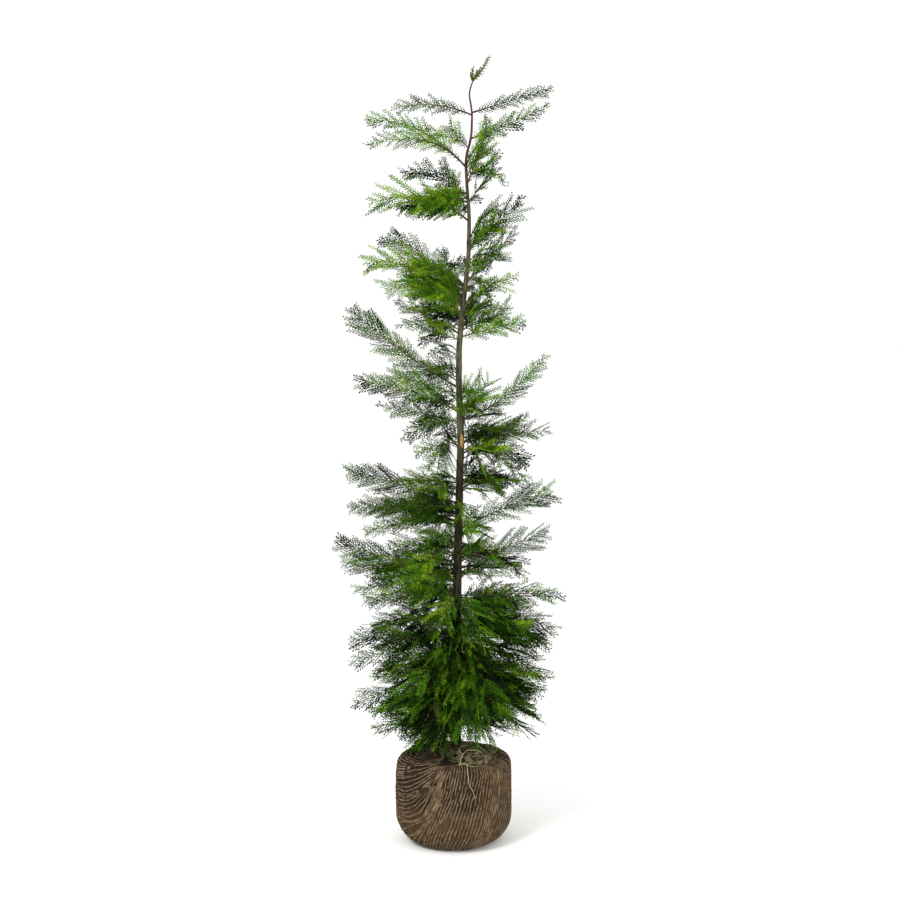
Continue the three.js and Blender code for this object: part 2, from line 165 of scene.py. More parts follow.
# Masses whose sprays are drawn out into a long point, and those that stay broad up to the tip
POINTED = {"01_right", "02_left", "03_right", "04_left", "05_left", "07_left", "08_left", "12_right"}
BROAD = {"18_left", "20_left", "21_right", "27_left", "28_left", "29_right", "32_left"}

# Sprays straight off the trunk that fill the inside of the crown: from and to height, how many, shortest
# and longest reach, rise of the tip for its reach, first and last heading, and mix of greens
INFILL = [
    (1.69, 1.73, 3, 0.06, 0.09, 0.80, -60, -10, "bright"),
    (1.63, 1.66, 7, 0.12, 0.18, -0.20, 186, 225, "bright"),
    (1.50, 1.54, 4, 0.06, 0.09, 0.80, -30, 30, "mid"),
    (1.44, 1.49, 3, 0.05, 0.09, 0.40, -60, 40, "mid"),
    (1.39, 1.43, 9, 0.13, 0.18, 0.25, 185, 225, "bright"),
    (1.34, 1.39, 5, 0.12, 0.19, 0.30, 190, 240, "bright"),
    (1.34, 1.37, 2, 0.07, 0.11, 0.30, -40, 30, "fresh"),
    (1.30, 1.38, 6, 0.07, 0.12, 0.35, 0, 215, "inner_shade"),
    (1.28, 1.31, 2, 0.07, 0.12, 0.35, 180, 250, "mid"),
    (1.30, 1.45, 7, 0.10, 0.17, 0.30, 55, 125, "dark"),
    (1.23, 1.26, 3, 0.04, 0.06, 0.30, 170, 240, "mid"),
    (1.17, 1.22, 4, 0.05, 0.09, 0.15, 150, 240, "dark"),
    (1.10, 1.16, 4, 0.04, 0.08, 0.15, 170, 250, "mid"),
    (1.09, 1.14, 6, 0.06, 0.10, 0.30, -80, -20, "bright"),
    (0.93, 1.10, 8, 0.08, 0.14, 0.15, -35, 140, "inner_shade"),
    (1.00, 1.06, 2, 0.12, 0.17, 0.05, -40, 10, "mid"),
    (0.90, 0.93, 4, 0.08, 0.13, 0.02, -50, 25, "mid"),
    (0.92, 0.95, 3, 0.13, 0.17, -0.05, -30, 15, "mid"),
    (0.87, 0.94, 7, 0.09, 0.16, 0.10, 182, 260, "mid"),
    (0.83, 0.87, 5, 0.10, 0.17, 0.05, 185, 240, "mid"),
    (0.74, 0.82, 8, 0.05, 0.10, 0.12, -70, 30, "fresh"),
    (0.70, 0.75, 4, 0.04, 0.07, -0.10, 180, 265, "inner_shade"),
    (0.84, 0.86, 3, 0.20, 0.265, 0.06, 180, 194, "mid"),
    (0.70, 0.82, 5, 0.13, 0.20, 0.05, 180, 235, "fresh"),
    (0.64, 0.69, 5, 0.11, 0.18, 0.00, 180, 240, "mid"),
    (0.66, 0.70, 4, 0.20, 0.24, 0.02, 178, 192, "mid"),
    (0.68, 0.72, 3, 0.12, 0.17, 0.03, -35, 10, "mid"),
    (0.62, 0.84, 12, 0.09, 0.16, 0.05, 25, 215, "inner_shade"),
    (0.54, 0.58, 4, 0.22, 0.25, -0.14, -22, 10, "skirt"),
    (0.42, 0.64, 30, 0.12, 0.20, -0.25, 0, 360, "inner_shade"),
    (0.38, 0.58, 18, 0.11, 0.17, -1.10, 0, 360, "plume"),
    (0.43, 0.60, 7, 0.20, 0.25, -0.12, 165, 215, "skirt"),
    (0.36, 0.42, 7, 0.19, 0.23, -0.30, 172, 208, "skirt"),
    (0.40, 0.60, 6, 0.20, 0.25, -0.15, -38, 20, "skirt"),
    (0.39, 0.45, 9, 0.20, 0.235, -0.33, -25, 10, "skirt"),
    (0.42, 0.62, 18, 0.12, 0.18, -0.70, 242, 298, "plume"),
    (0.37, 0.43, 10, 0.12, 0.17, -0.38, 285, 328, "skirt"),
    (0.34, 0.44, 6, 0.12, 0.17, -0.70, 225, 266, "skirt"),
    (0.31, 0.38, 8, 0.11, 0.16, -0.32, 190, 250, "skirt"),
    (0.32, 0.42, 4, 0.10, 0.14, -0.90, 225, 265, "skirt"),
    (0.32, 0.36, 8, 0.05, 0.09, -0.60, 240, 300, "inner_shade"),
    (0.30, 0.42, 20, 0.10, 0.17, -0.35, 20, 262, "inner_shade"),
]
LOWEST_TIP = 0.266  # keeps the hanging sprays off the ball
INFILL_FAN = 0.07
INFILL_BOW = 0.02
INFILL_BARE = 0.004
GOLDEN = 0.618  # spreads the headings of a row evenly

# The young shoots above the trunk: how far each tip is above, right of and behind the trunk's tip, and
# how far its middle bows to the right
LEADER_SHOOTS = [
    (0.070, 0.044, 0.0, 0.004), (0.041, 0.003, 0.006, -0.003), (0.022, -0.006, -0.005, -0.002),
    (0.040, 0.020, 0.010, 0.003), (0.030, 0.010, -0.006, 0.002),
]
LEADER_SPREAD = 0.11  # how wide the feathering of a shoot is, for its rise
LEADER_RADIUS = 0.0026

# --- The greens, one for each leaf piece, and how each mass mixes them ---

# The greens run from lit to shaded foliage: lime and fresh are partly young growth and partly painted
# light, deep is partly older foliage and partly painted shade, and shade, near black, is painted shade.
GREENS = {
    "lime": "#698A18",
    "fresh": "#487210",
    "leafy": "#33570D",
    "grey": "#434F28",
    "deep": "#1D3A08",
    "shade": "#081203",
}
# The dark, inner and skirt mixes hold more of the deep and shade greens as painted shade: dark for masses
# that lie in shade, inner for sprays inside the crown, skirt for the less lit lower crown. Bright is partly
# young growth and partly painted light.
MIXES = {
    "bright": (0.30, 0.42, 0.18, 0.02, 0.06, 0.02),
    "fresh": (0.10, 0.36, 0.32, 0.06, 0.12, 0.04),
    "mid": (0.03, 0.18, 0.34, 0.14, 0.19, 0.12),
    "dark": (0.0, 0.08, 0.32, 0.12, 0.30, 0.18),
    "skirt": (0.03, 0.22, 0.31, 0.02, 0.20, 0.22),
    "plume": (0.12, 0.38, 0.30, 0.0, 0.14, 0.06),
    "grey": (0.03, 0.12, 0.25, 0.50, 0.10, 0.0),
    "inner_shade": (0.0, 0.06, 0.24, 0.02, 0.32, 0.36),
}

chance = np.random.default_rng(SEED)


# --- Small helpers ---


def unit(vectors):
    return vectors / np.maximum(np.linalg.norm(vectors, axis=-1, keepdims=True), 1e-12)


def linear(hex_colour):
    """An sRGB hex value as the linear colour that the shader takes."""
    values = [int(hex_colour[i : i + 2], 16) / 255 for i in (1, 3, 5)]
    return [v / 12.92 if v <= 0.04045 else ((v + 0.055) / 1.055) ** 2.4 for v in values] + [1.0]


def in_scene(name, data):
    thing = bpy.data.objects.new(name, data)
    bpy.context.scene.collection.objects.link(thing)
    return thing


def piece_from(name, shape, material, stands_for=(), smooth=True):
    """A finished piece at the origin from a shape's vertices and triangles: its mesh, material, body
    and the nodes it stands for."""
    vertices, triangles = shape
    mesh = bpy.data.meshes.new(name)
    mesh.vertices.add(len(vertices))
    mesh.vertices.foreach_set("co", np.asarray(vertices, dtype=np.float32).ravel())
    mesh.loops.add(3 * len(triangles))
    mesh.loops.foreach_set("vertex_index", np.asarray(triangles, dtype=np.int32).ravel())
    mesh.polygons.add(len(triangles))
    mesh.polygons.foreach_set("loop_start", np.arange(0, 3 * len(triangles), 3, dtype=np.int32))
    mesh.polygons.foreach_set("use_smooth", np.full(len(triangles), smooth))
    mesh.update(calc_edges=True)
    mesh.materials.append(material)
    piece = in_scene(name, mesh)
    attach(piece, BODY)
    if stands_for:
        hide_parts(*stands_for)


def joined(shapes):
    """Several shapes as one."""
    vertices, triangles, base = [], [], 0
    for points, faces in shapes:
        vertices.append(points)
        triangles.append(faces + base)
        base += len(points)
    return np.concatenate(vertices), np.concatenate(triangles)


def closed_rings(rings, sides):
    """Triangles of the skin over rings of vertices, closed by a vertex at the foot and one at the top,
    which come after all the rings."""
    i = np.arange(sides)
    j = (i + 1) % sides
    low = (np.arange(rings - 1) * sides)[:, None]
    last = (rings - 1) * sides
    foot = np.full(sides, rings * sides)
    skin = [low + i, low + j, low + j + sides, low + i, low + j + sides, low + i + sides]
    ends = [foot, j, i, last + i, last + j, foot + 1]
    return np.concatenate([np.stack(part, axis=-1).reshape(-1, 3) for part in (skin, ends)])


def numbered(count):
    """For count[0] things of the first owner, count[1] of the second and so on: the owner of each, and
    its number with that owner."""
    row = np.repeat(np.arange(len(count)), count)
    return row, np.arange(len(row)) - np.repeat(np.cumsum(count) - count, count)


def path_length(line):
    """How far each point of a line is along it."""
    return np.concatenate([[0], np.cumsum(np.linalg.norm(np.diff(line, axis=0), axis=1))])


# --- Trunk line ---

STEM_STEP = 0.004
stem_heights = np.arange(STEM[0][0], STEM[-1][0] + STEM_STEP / 2, STEM_STEP)


def eased(column):
    """One offset of the stem line along its heights, with its corners rounded."""
    reach = 4
    rows = [row[0] for row in STEM]
    line = np.interp(stem_heights, rows, [row[column] for row in STEM])
    padded = np.concatenate([np.full(reach, line[0]), line, np.full(reach, line[-1])])
    return np.convolve(padded, np.full(2 * reach + 1, 1 / (2 * reach + 1)), mode="valid")


stem_points = np.stack([eased(1), eased(2), stem_heights], axis=1)


def stem_at(height):
    return np.array([np.interp(height, stem_heights, stem_points[:, axis]) for axis in range(3)])


def stem_radius(height):
    return np.interp(height, [row[0] for row in TAPER], [row[1] for row in TAPER])


# --- Shoots ---


class Shoots:
    """Many shoots at once. Shoot i runs along foot + t * run + t * t * nod for t from 0 to 1, carries
    its own side shoots across the plane with normal flat, out to spread on either side, has radius at
    its foot, and belongs to one of the greens."""

    def __init__(self, foot, run, nod, flat, spread, radius, green):
        self.foot = foot
        self.run = run
        self.nod = nod
        self.flat = flat
        self.spread = spread
        self.radius = radius
        self.green = green
        self.length = np.linalg.norm(run + nod, axis=1)

    def parts(self):
        return self.foot, self.run, self.nod, self.flat, self.spread, self.radius, self.green

    def pick(self, rows):
        return Shoots(*(part[rows] for part in self.parts()))

    def point(self, rows, t):
        t = np.reshape(t, (-1, 1))
        return self.foot[rows] + t * self.run[rows] + t * t * self.nod[rows]

    def heading(self, rows, t):
        return unit(self.run[rows] + 2 * np.reshape(t, (-1, 1)) * self.nod[rows])


def together(groups):
    return Shoots(*(np.concatenate(part) for part in zip(*(group.parts() for group in groups))))


def foot_parts(shoots, share):
    """The same shoots as far as share of their length."""
    share = np.reshape(share, (-1, 1))
    run, nod = shoots.run * share, shoots.nod * share**2
    return Shoots(shoots.foot, run, nod, shoots.flat, shoots.spread, shoots.radius, shoots.green)


def held_in(shoots):
    """The shoots, shortened where a tip would stand outside the crown's box."""
    tip = shoots.run + shoots.nod
    room = np.where(tip > 0, np.array(CROWN_HIGH) - shoots.foot, np.array(CROWN_LOW) - shoots.foot)
    share = np.min(room / np.where(tip == 0, 1, tip), axis=1, where=tip != 0, initial=1.0)
    return foot_parts(shoots, np.clip(share, 0.05, 1))


def feather(s):
    """Outline of a spray: a narrow foot, its broadest a third of the way out, then a long point."""
    return np.sin(np.pi * np.clip(s, 0, 1) ** 0.72) ** 0.85


def paddle(s):
    """Outline of a spray that stays broad nearly up to its tip."""
    return np.minimum(1, 0.45 + 1.4 * s) * (1 - s**3.5) ** 0.8


def plume(s):
    """Outline of a small plume, broad soon after its foot and then tapering evenly."""
    return np.minimum(1, 0.35 + s / 0.16) * (1 - s) ** 0.75


# A spray whose outline is a paddle has its side shoots closer, less crowded at its foot, reaching further
# past its tip, and broader in themselves
POINTED_SPACING = 1.05
BROAD_CLOSER = 0.3
BROAD_CROWDING = 0.35
BROAD_OVERSHOOT = 0.022
BROAD_BROADER = 0.0035
PAST_TIP = 1.1  # how long a side shoot may be, for what is left of its parent's length


def side_shoots(parents, start, rule, breadth=None):
    """Side shoots to left and right in turn along each parent, from start of its length to its tip,
    out to the parent's outline. breadth is how far each parent's outline is that of a paddle."""
    spacing, crowding = rule["spacing"], rule["crowding"]
    if breadth is not None:
        spacing = spacing * (POINTED_SPACING - BROAD_CLOSER * breadth)
    count = np.maximum(((1 - start) * parents.length / spacing).astype(int), 0)
    row, turn = numbered(count)
    s = (turn + chance.uniform(0.2, 0.8, len(row))) / count[row]
    begin = start if np.isscalar(start) else start[row]
    if breadth is not None:
        crowding = crowding - BROAD_CROWDING * breadth[row]
    s = s**crowding
    t = begin + (1 - begin) * s
    heading = parents.heading(row, t)
    flat = parents.flat[row]
    side = np.cross(flat, heading) * np.where(turn % 2, 1.0, -1.0)[:, None]
    tilt = np.radians(rule["lift"]) * chance.normal(0, 1, len(row))
    out = side * np.cos(tilt)[:, None] + flat * np.sin(tilt)[:, None]
    luck = chance.uniform(0, 1, len(row))
    vigour = 1 + rule["uneven"] * (2 * luck**1.5 - 0.8)
    angle = np.radians(rule["angle"]) * (1 + rule["scatter"] * (0.5 - luck))
    angle = angle * (1 + rule["foot_opening"] * (1 - s) ** 5)
    ahead = heading * np.cos(angle)[:, None] + out * np.sin(angle)[:, None]
    outline = rule["outline"](s)
    overshoot = rule["overshoot"]
    broadest = np.full(len(row), rule["broadest"])
    if breadth is not None:
        outline = outline + breadth[row] * (paddle(s) - outline)
        overshoot = overshoot + BROAD_OVERSHOOT * breadth[row]
        broadest = broadest + BROAD_BROADER * breadth[row]
    length = parents.spread[row] * outline * vigour / math.sin(math.radians(rule["angle"]))
    length = np.minimum(length, rule["longest"])
    length = np.minimum(length, PAST_TIP * (1 - t) * parents.length[row] + overshoot)
    keep = length > rule["shortest"]
    columns = (row, t, heading, ahead, length, flat, broadest)
    row, t, heading, ahead, length, flat, broadest = (column[keep] for column in columns)
    bend = chance.normal(0, rule["wander"], (len(row), 3)) + heading * rule["sweep"]
    bend[:, 2] -= rule["droop"]
    flat = unit(flat - ahead * np.sum(flat * ahead, axis=1, keepdims=True))
    roll = np.radians(rule["roll"]) * chance.normal(0, 1, len(row))
    return Shoots(
        parents.point(row, t),
        ahead * length[:, None],
        bend * length[:, None],
        flat * np.cos(roll)[:, None] + np.cross(ahead, flat) * np.sin(roll)[:, None],
        np.minimum(length * rule["slender"], broadest),
        np.minimum(parents.radius[row] * 0.8, rule["radius"]),
        parents.green[row],
    )


# --- Limbs ---

LIMB_RADIUS = 0.0012  # at the foot of a short limb
LIMB_STOUTER = 0.006  # and more, for its length
FORKED_START = 0.02  # share of a side limb that is bare
FORK_PULL = 0.2  # how far the fork draws a side limb's middle towards it


def limb_curve(foot, height, heading, reach, rise, bow):
    """Foot, bend and tip of a limb's line, whose middle stands bow above the straight line."""
    turn = math.radians(heading)
    stem = stem_at(height)
    tip = stem + np.array([reach * math.cos(turn), reach * math.sin(turn), rise])
    middle = (stem + tip) / 2 + np.array([0, 0, 2 * bow])
    if foot is None:
        return stem, middle, tip
    return foot, middle + FORK_PULL * (foot - middle), tip


def limb_row(foot, middle, tip, fan, roll):
    """One main shoot through three points, with its foliage's width and turn out of level."""
    level = unit(np.cross(tip - foot, [0, 0, 1]))
    up = unit(np.cross(level, tip - foot))
    across = level * math.cos(math.radians(roll)) + up * math.sin(math.radians(roll))
    flat = unit(np.cross(tip - foot, across))
    radius = LIMB_RADIUS + LIMB_STOUTER * np.linalg.norm(tip - foot)
    return foot, 2 * (middle - foot), tip - 2 * middle + foot, flat, fan / 2, radius, 0


def limb_shoots():
    """One main shoot for each limb, where the foliage starts along it, its mix of greens, and how
    broad its spray stays towards the tip."""
    rows, starts, mixes, breadths = [], [], [], []
    for key, (mix, limbs) in LIMBS.items():
        fork = None
        for heading, roll, *sizes in limbs:
            height, reach, rise, bow, fan = (size / 1000 for size in sizes)
            foot, middle, tip = limb_curve(fork, height, heading, reach, rise, bow)
            rows.append(limb_row(foot, middle, tip, fan, roll))
            length = np.linalg.norm(tip - foot)
            bare = BARE.get(key, BARE_FOOT + stem_radius(height))
            starts.append(FORKED_START if fork is not None else bare / length)
            mixes.append(MIXES[mix])
            breadths.append(0.0 if key in POINTED else 1.0 if key in BROAD else 0.5)
            if fork is None:
                t = max(bare, FORK) / length
                fork = foot + t * rows[-1][1] + t * t * rows[-1][2]
    for low, high, many, nearest, furthest, climb, first, last, mix in INFILL:
        draw = np.random.default_rng([SEED, round(low * 1000), round(high * 1000), many])
        for i in range(many):
            height = low + (high - low) * (i + draw.uniform(0, 1)) / many
            heading = first + (last - first) * (i * GOLDEN % 1 + draw.uniform(-0.5, 0.5) / many)
            reach = draw.uniform(nearest, furthest)
            rise = max(reach * climb * draw.uniform(0.5, 1.5), LOWEST_TIP - height)
            foot, middle, tip = limb_curve(None, height, heading, reach, rise, draw.uniform(0, INFILL_BOW))
            rows.append(limb_row(foot, middle, tip, INFILL_FAN, draw.uniform(-90, 90)))
            starts.append((stem_radius(height) + INFILL_BARE) / reach)
            mixes.append(MIXES[mix])
            breadths.append(0.5)
    columns = [np.array(column) for column in zip(*rows)]
    return Shoots(*columns), np.array(starts), np.array(mixes), np.array(breadths)


limbs, starts, mixes, breadths = limb_shoots()

MOODS = 0.13  # how far whole limbs are lighter or darker than their mix
moods = chance.normal(0, MOODS, len(limbs.foot))

INNER_REACH = 0.11  # sprays nearer the trunk than this are darker in the close lower crown, as painted shade
INNER_TOP = 1.15
OUTER_REACH = 0.13  # and sprays past this one turn duller towards their tips
# Painted light and shade: sprays get lighter greens where they point up, darker ones deep inside the lower
# crown and towards the back
PAINTED_LIGHT_UP = 0.14  # these four are shares of the way through a mix
PAINTED_SHADE_INSIDE = 0.36
PAINTED_SHADE_BACK = 0.7  # for each metre towards the back
DULLER_OUTSIDE = 0.14


def dealt_greens(shoots):
    """A green for each shoot, by its mass's mix, with painted light and shade: lighter where it points up
    or stands in front, darker deep inside the lower crown and towards the back. Until then the shoot's
    green is the number of its limb."""
    totals = np.cumsum(mixes[shoots.green], axis=1)
    totals = totals / totals[:, -1:]
    luck = chance.uniform(0, 1, len(shoots.foot)) + moods[shoots.green]
    middle = shoots.foot + 0.5 * shoots.run
    depth = np.clip(1 - np.hypot(middle[:, 0], middle[:, 1]) / INNER_REACH, 0, 1)
    depth = depth * (middle[:, 2] < INNER_TOP)
    tip = shoots.foot + shoots.run
    outer = np.clip((np.hypot(tip[:, 0], tip[:, 1]) - OUTER_REACH) / OUTER_REACH, 0, 1)
    luck = luck - PAINTED_LIGHT_UP * unit(shoots.run)[:, 2] + PAINTED_SHADE_INSIDE * depth
    luck = luck + PAINTED_SHADE_BACK * middle[:, 1] + DULLER_OUTSIDE * outer
    return (np.clip(luck, 0, 0.999)[:, None] > totals).sum(axis=1)


# How each order of side shoots stands on the one before it: first the lobes on a limb, then the strokes on
# a lobe. Lengths are in metres and angles in degrees; slender is how wide a shoot's own spray is for its
# length, on either side.
ORDERS = {
    "spacing": (0.0100, 0.0037),
    "crowding": (1.25, 1.0),
    "angle": (32, 37),
    "scatter": (0.5, 0.14),
    "foot_opening": (0.9, 0.3),
    "overshoot": (0.008, 0.005),
    "lift": (24, 7),
    "roll": (26, 12),
    "uneven": (0.35, 0.10),
    "outline": (feather, plume),
    "longest": (0.120, 0.032),
    "shortest": (0.018, 0.0035),
    "wander": (0.035, 0.022),
    "sweep": (0.14, 0.14),
    "droop": (0.03, 0.01),
    "slender": (0.20, 0.20),
    "broadest": (0.0062, 0.0042),
    "radius": (0.0013, 0.00125),
}
LOBES = {key: pair[0] for key, pair in ORDERS.items()}
STROKES = {key: pair[1] for key, pair in ORDERS.items()}
STROKE_START = 0.05  # share of a lobe before its first stroke
TIP_SPREAD = 0.0140  # of the small sprays along a limb itself
TIP_RADIUS = 0.0013


def leader_shoots():
    """The young shoots above the tip of the trunk."""
    rows = []
    for rise, right, back, bow in LEADER_SHOOTS:
        tip = np.array([right, back, rise])
        nod = np.array([-4 * bow, 0.0, 4 * bow * right / rise])
        spread = LEADER_SPREAD * rise
        rows.append((stem_points[-1], tip - nod, nod, np.array([0.0, -1.0, 0.0]), spread, LEADER_RADIUS, 0))
    return Shoots(*(np.array(column) for column in zip(*rows)))


# Each limb carries lobes, and both carry strokes with scale leaves
limbs.green = np.arange(len(limbs.foot))  # the limb's number, until the greens are dealt
lobes = held_in(side_shoots(limbs, starts, LOBES, breadths))
lobes.green = dealt_greens(lobes)
tips = limbs.pick(limbs.green)
tips.spread = np.full(len(tips.foot), TIP_SPREAD)
tips.radius = np.full(len(tips.foot), TIP_RADIUS)
tips.green = dealt_greens(tips)
leader = leader_shoots()
leader.green = np.full(len(leader.foot), list(GREENS).index("grey"))
feathers = together([lobes, tips, leader])
strokes = held_in(side_shoots(feathers, STROKE_START, STROKES))


# --- Meshes of shoots ---


def stems(shoots, sides, rings, tip_size, squash):
    """Closed tapering stems, one for each shoot: all their vertices and triangles."""
    count = len(shoots.foot)
    every = np.arange(count)
    layers = []
    for t in np.arange(rings) / rings:
        here = shoots.point(every, np.full(count, t))
        heading = shoots.heading(every, np.full(count, t))
        side = unit(np.cross(shoots.flat, heading))
        up = np.cross(heading, side)
        size = (shoots.radius * (1 - (1 - tip_size) * t))[:, None]
        for angle in 2 * np.pi * np.arange(sides) / sides:
            layers.append(here + size * (side * math.cos(angle) + up * math.sin(angle) * squash))
    layers.append(shoots.point(every, np.ones(count)))
    vertices = np.stack(layers, axis=1)
    local = []
    for ring in range(rings - 1):
        for i in range(sides):
            a, b = ring * sides + i, ring * sides + (i + 1) % sides
            local += [(a, b, b + sides), (a, b + sides, a + sides)]
    last = (rings - 1) * sides
    local += [(last + i, last + (i + 1) % sides, rings * sides) for i in range(sides)]
    local += [(0, i + 1, i) for i in range(1, sides - 1)]
    each = rings * sides + 1
    triangles = np.array(local)[None] + each * every[:, None, None]
    return vertices.reshape(-1, 3), triangles.reshape(-1, 3)


SCALE_PITCH = 0.0054  # between the pairs of scale leaves on a stroke
SCALE_FIRST = 0.35  # of a pitch before the first pair
SCALE_WIDTH = 0.0020  # from the stroke to the tip of a scale leaf
SCALE_LENGTH = 0.0088
SCALE_SHOULDER = 0.75  # share of its length where it is widest
SCALE_CREST = 0.45  # share of its length where it is thickest
SCALE_THICKNESS = 0.0007
COARSER = 1.6  # scale leaves of the sprays in the shade


def scale_leaves(shoots, coarser, stouter):
    """Pairs of scale leaves pressed along each shoot, as closed kites that widen forwards. Deep in the
    shade they are drawn coarser and further apart, and towards the top stouter."""
    count = np.maximum((shoots.length / (SCALE_PITCH * coarser)).astype(int), 1)
    row, turn = numbered(count)
    t = (turn + SCALE_FIRST) / count[row]
    heading = shoots.heading(row, t)
    flat = shoots.flat[row]
    width = SCALE_WIDTH * stouter * coarser**0.5
    side = unit(np.cross(flat, heading)) * (width * (1 - t) ** 0.6)[:, None]
    back = shoots.point(row, t)
    front = back + heading * SCALE_LENGTH * SCALE_SHOULDER * coarser
    crest = back + heading * SCALE_LENGTH * SCALE_CREST * coarser + flat * SCALE_THICKNESS
    vertices = np.stack([back, front + side, front - side, crest], axis=1).reshape(-1, 3)
    faces = np.array([(0, 1, 2), (0, 3, 1), (0, 2, 3), (1, 3, 2)])
    return vertices, (faces[None] + 4 * np.arange(len(row))[:, None, None]).reshape(-1, 3)


# --- Materials ---


def new_material(name, roughness, specular=0.5):
    material = bpy.data.materials.new(name)
    material.use_nodes = True
    shader = material.node_tree.nodes["Principled BSDF"]
    shader.inputs["Roughness"].default_value = roughness
    shader.inputs["Specular IOR Level"].default_value = specular
    return material, material.node_tree


def add(tree, kind, settings=None, **links):
    """Adds a node with its settings (properties, socket values, links by socket name or number, and the
    stops of a ramp) and more incoming links by socket name."""
    node = tree.nodes.new(kind)
    for key, value in (settings or {}).items():
        if key == "stops":
            stops = node.color_ramp.elements
            for stop, (position, colour) in zip(stops, (value[0], value[-1])):
                stop.position = position
                stop.color = colour
            for position, colour in value[1:-1]:
                stops.new(position).color = colour
        elif isinstance(value, bpy.types.NodeSocket):
            tree.links.new(value, node.inputs[key])
        elif isinstance(key, str) and hasattr(node, key):
            setattr(node, key, value)
        else:
            node.inputs[key].default_value = value
    for key, source in links.items():
        tree.links.new(source, node.inputs[key.replace("_", " ")])
    return node


def coat(tree, colour, height=None, strength=0.0, depth=0.0):
    """Gives a material its colour and, from the height of its grain, a relief depth metres deep."""
    shader = tree.nodes["Principled BSDF"]
    tree.links.new(colour, shader.inputs["Base Color"])
    if height is not None:
        relief = add(tree, "ShaderNodeBump", {"Strength": strength, "Distance": depth}, Height=height)
        tree.links.new(relief.outputs["Normal"], shader.inputs["Normal"])


def leaf_material(name, colour):
    """Scale leaves pressed flat on thin shoots: waxy and half matt, with patches of painted light and
    painted shade for the lit and shaded side of each leaf. Those sides are finer than the render shows, so
    they are drawn coarser, as patches 7 mm across."""
    material, tree = new_material(name, 0.85, 0.05)
    base = linear(colour)
    # Painted shade and painted light: a darker and a lighter copy of the green
    dark = [v * 0.50 for v in base[:3]] + [1.0]
    light = [min(v * 1.32, 1.0) for v in base[:3]] + [1.0]
    place = add(tree, "ShaderNodeTexCoord").outputs["Object"]
    sides = add(tree, "ShaderNodeTexNoise", {"Scale": 150.0, "Detail": 2.0}, Vector=place)
    stops = [(0.38, dark), (0.62, light)]
    ramp = add(tree, "ShaderNodeValToRGB", {"stops": stops}, Fac=sides.outputs["Fac"])
    coat(tree, ramp.outputs["Color"])
    return material


BARK_LOW = 0.2  # heights between which the bark's colours are dealt out
BARK_HIGH = 2.0
# The bark's colours, by share of the way from the low height to the high one
BARK_COLOURS = [
    # The two lowest colours darken the trunk inside the lower crown, as painted shade of the foliage over
    # it
    (0.0, "#3A3323"),
    (0.42, "#413E29"),
    (0.55, "#5C5B40"),
    (0.80, "#544A38"),
    (0.87, "#54302F"),
    (0.93, "#5A3136"),
    (1.0, "#55682A"),
]
# Where the bark has peeled off, and how far the spot reaches in each direction
PEELED_SPOT = {"Location": (0.021, -0.009, 1.034), "Scale": (0.008, 0.010, 0.028)}


def bark_material(name):
    """Young conifer bark: dull grey-brown with darker lengthwise streaks, darker low in the crown as
    painted shade, olive where it is thin and burgundy on the leader, with one peeled tan spot on the front.
    The streaks are 3 mm wide and 30 mm long."""
    material, tree = new_material(name, 0.8, 0.25)
    place = add(tree, "ShaderNodeTexCoord").outputs["Object"]
    height = add(tree, "ShaderNodeSeparateXYZ", {}, Vector=place).outputs["Z"]
    share = {"From Min": BARK_LOW, "From Max": BARK_HIGH}
    climb = add(tree, "ShaderNodeMapRange", share, Value=height)
    stops = [(position, linear(colour)) for position, colour in BARK_COLOURS]
    ramp = add(tree, "ShaderNodeValToRGB", {"stops": stops}, Fac=climb.outputs["Result"])
    lengthwise = add(tree, "ShaderNodeMapping", {"Scale": (1.0, 1.0, 0.10)}, Vector=place)
    fine = {"Scale": 330.0, "Detail": 3.0, "Roughness": 0.6}
    grain = add(tree, "ShaderNodeTexNoise", fine, Vector=lengthwise.outputs["Vector"]).outputs["Fac"]
    stops = [(0.38, linear("#5A564C")), (0.58, linear("#FFFFFF"))]
    streaks = add(tree, "ShaderNodeValToRGB", {"stops": stops}, Fac=grain).outputs["Color"]
    shaded = {"data_type": "RGBA", "blend_type": "MULTIPLY", 0: 1.0, 6: ramp.outputs["Color"], 7: streaks}
    streaked = add(tree, "ShaderNodeMix", shaded)
    spot = add(tree, "ShaderNodeMapping", {"vector_type": "TEXTURE", **PEELED_SPOT}, Vector=place)
    near = add(tree, "ShaderNodeTexGradient", {"gradient_type": "SPHERICAL"}, Vector=spot.outputs["Vector"])
    frayed = {"operation": "MULTIPLY_ADD", 0: grain, 1: 0.5, 2: near.outputs["Fac"]}
    ragged = add(tree, "ShaderNodeMath", frayed)
    edge = {"From Min": 0.50, "From Max": 0.62}
    peeled = add(tree, "ShaderNodeMapRange", edge, Value=ragged.outputs[0]).outputs["Result"]
    mixed = {"data_type": "RGBA", 0: peeled, 6: streaked.outputs[2], 7: linear("#A27A42")}
    coat(tree, add(tree, "ShaderNodeMix", mixed).outputs[2], grain, 0.5, 0.0012)
    return material


def twig_bark_material(name):
    """This year's twigs: still olive green, brown only in patches 14 mm long."""
    material, tree = new_material(name, 0.8, 0.2)
    place = add(tree, "ShaderNodeTexCoord").outputs["Object"]
    patches = add(tree, "ShaderNodeTexNoise", {"Scale": 70.0, "Detail": 2.0}, Vector=place)
    stops = [(0.40, linear("#4A5A1C")), (0.66, linear("#5A4426"))]
    ramp = add(tree, "ShaderNodeValToRGB", {"stops": stops}, Fac=patches.outputs["Fac"])
    coat(tree, ramp.outputs["Color"])
    return material


# --- Foliage pieces ---

spray_nodes = sorted(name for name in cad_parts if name.startswith(("spray_", "skirt_")))
bough_nodes = sorted(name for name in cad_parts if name.startswith("bough_"))

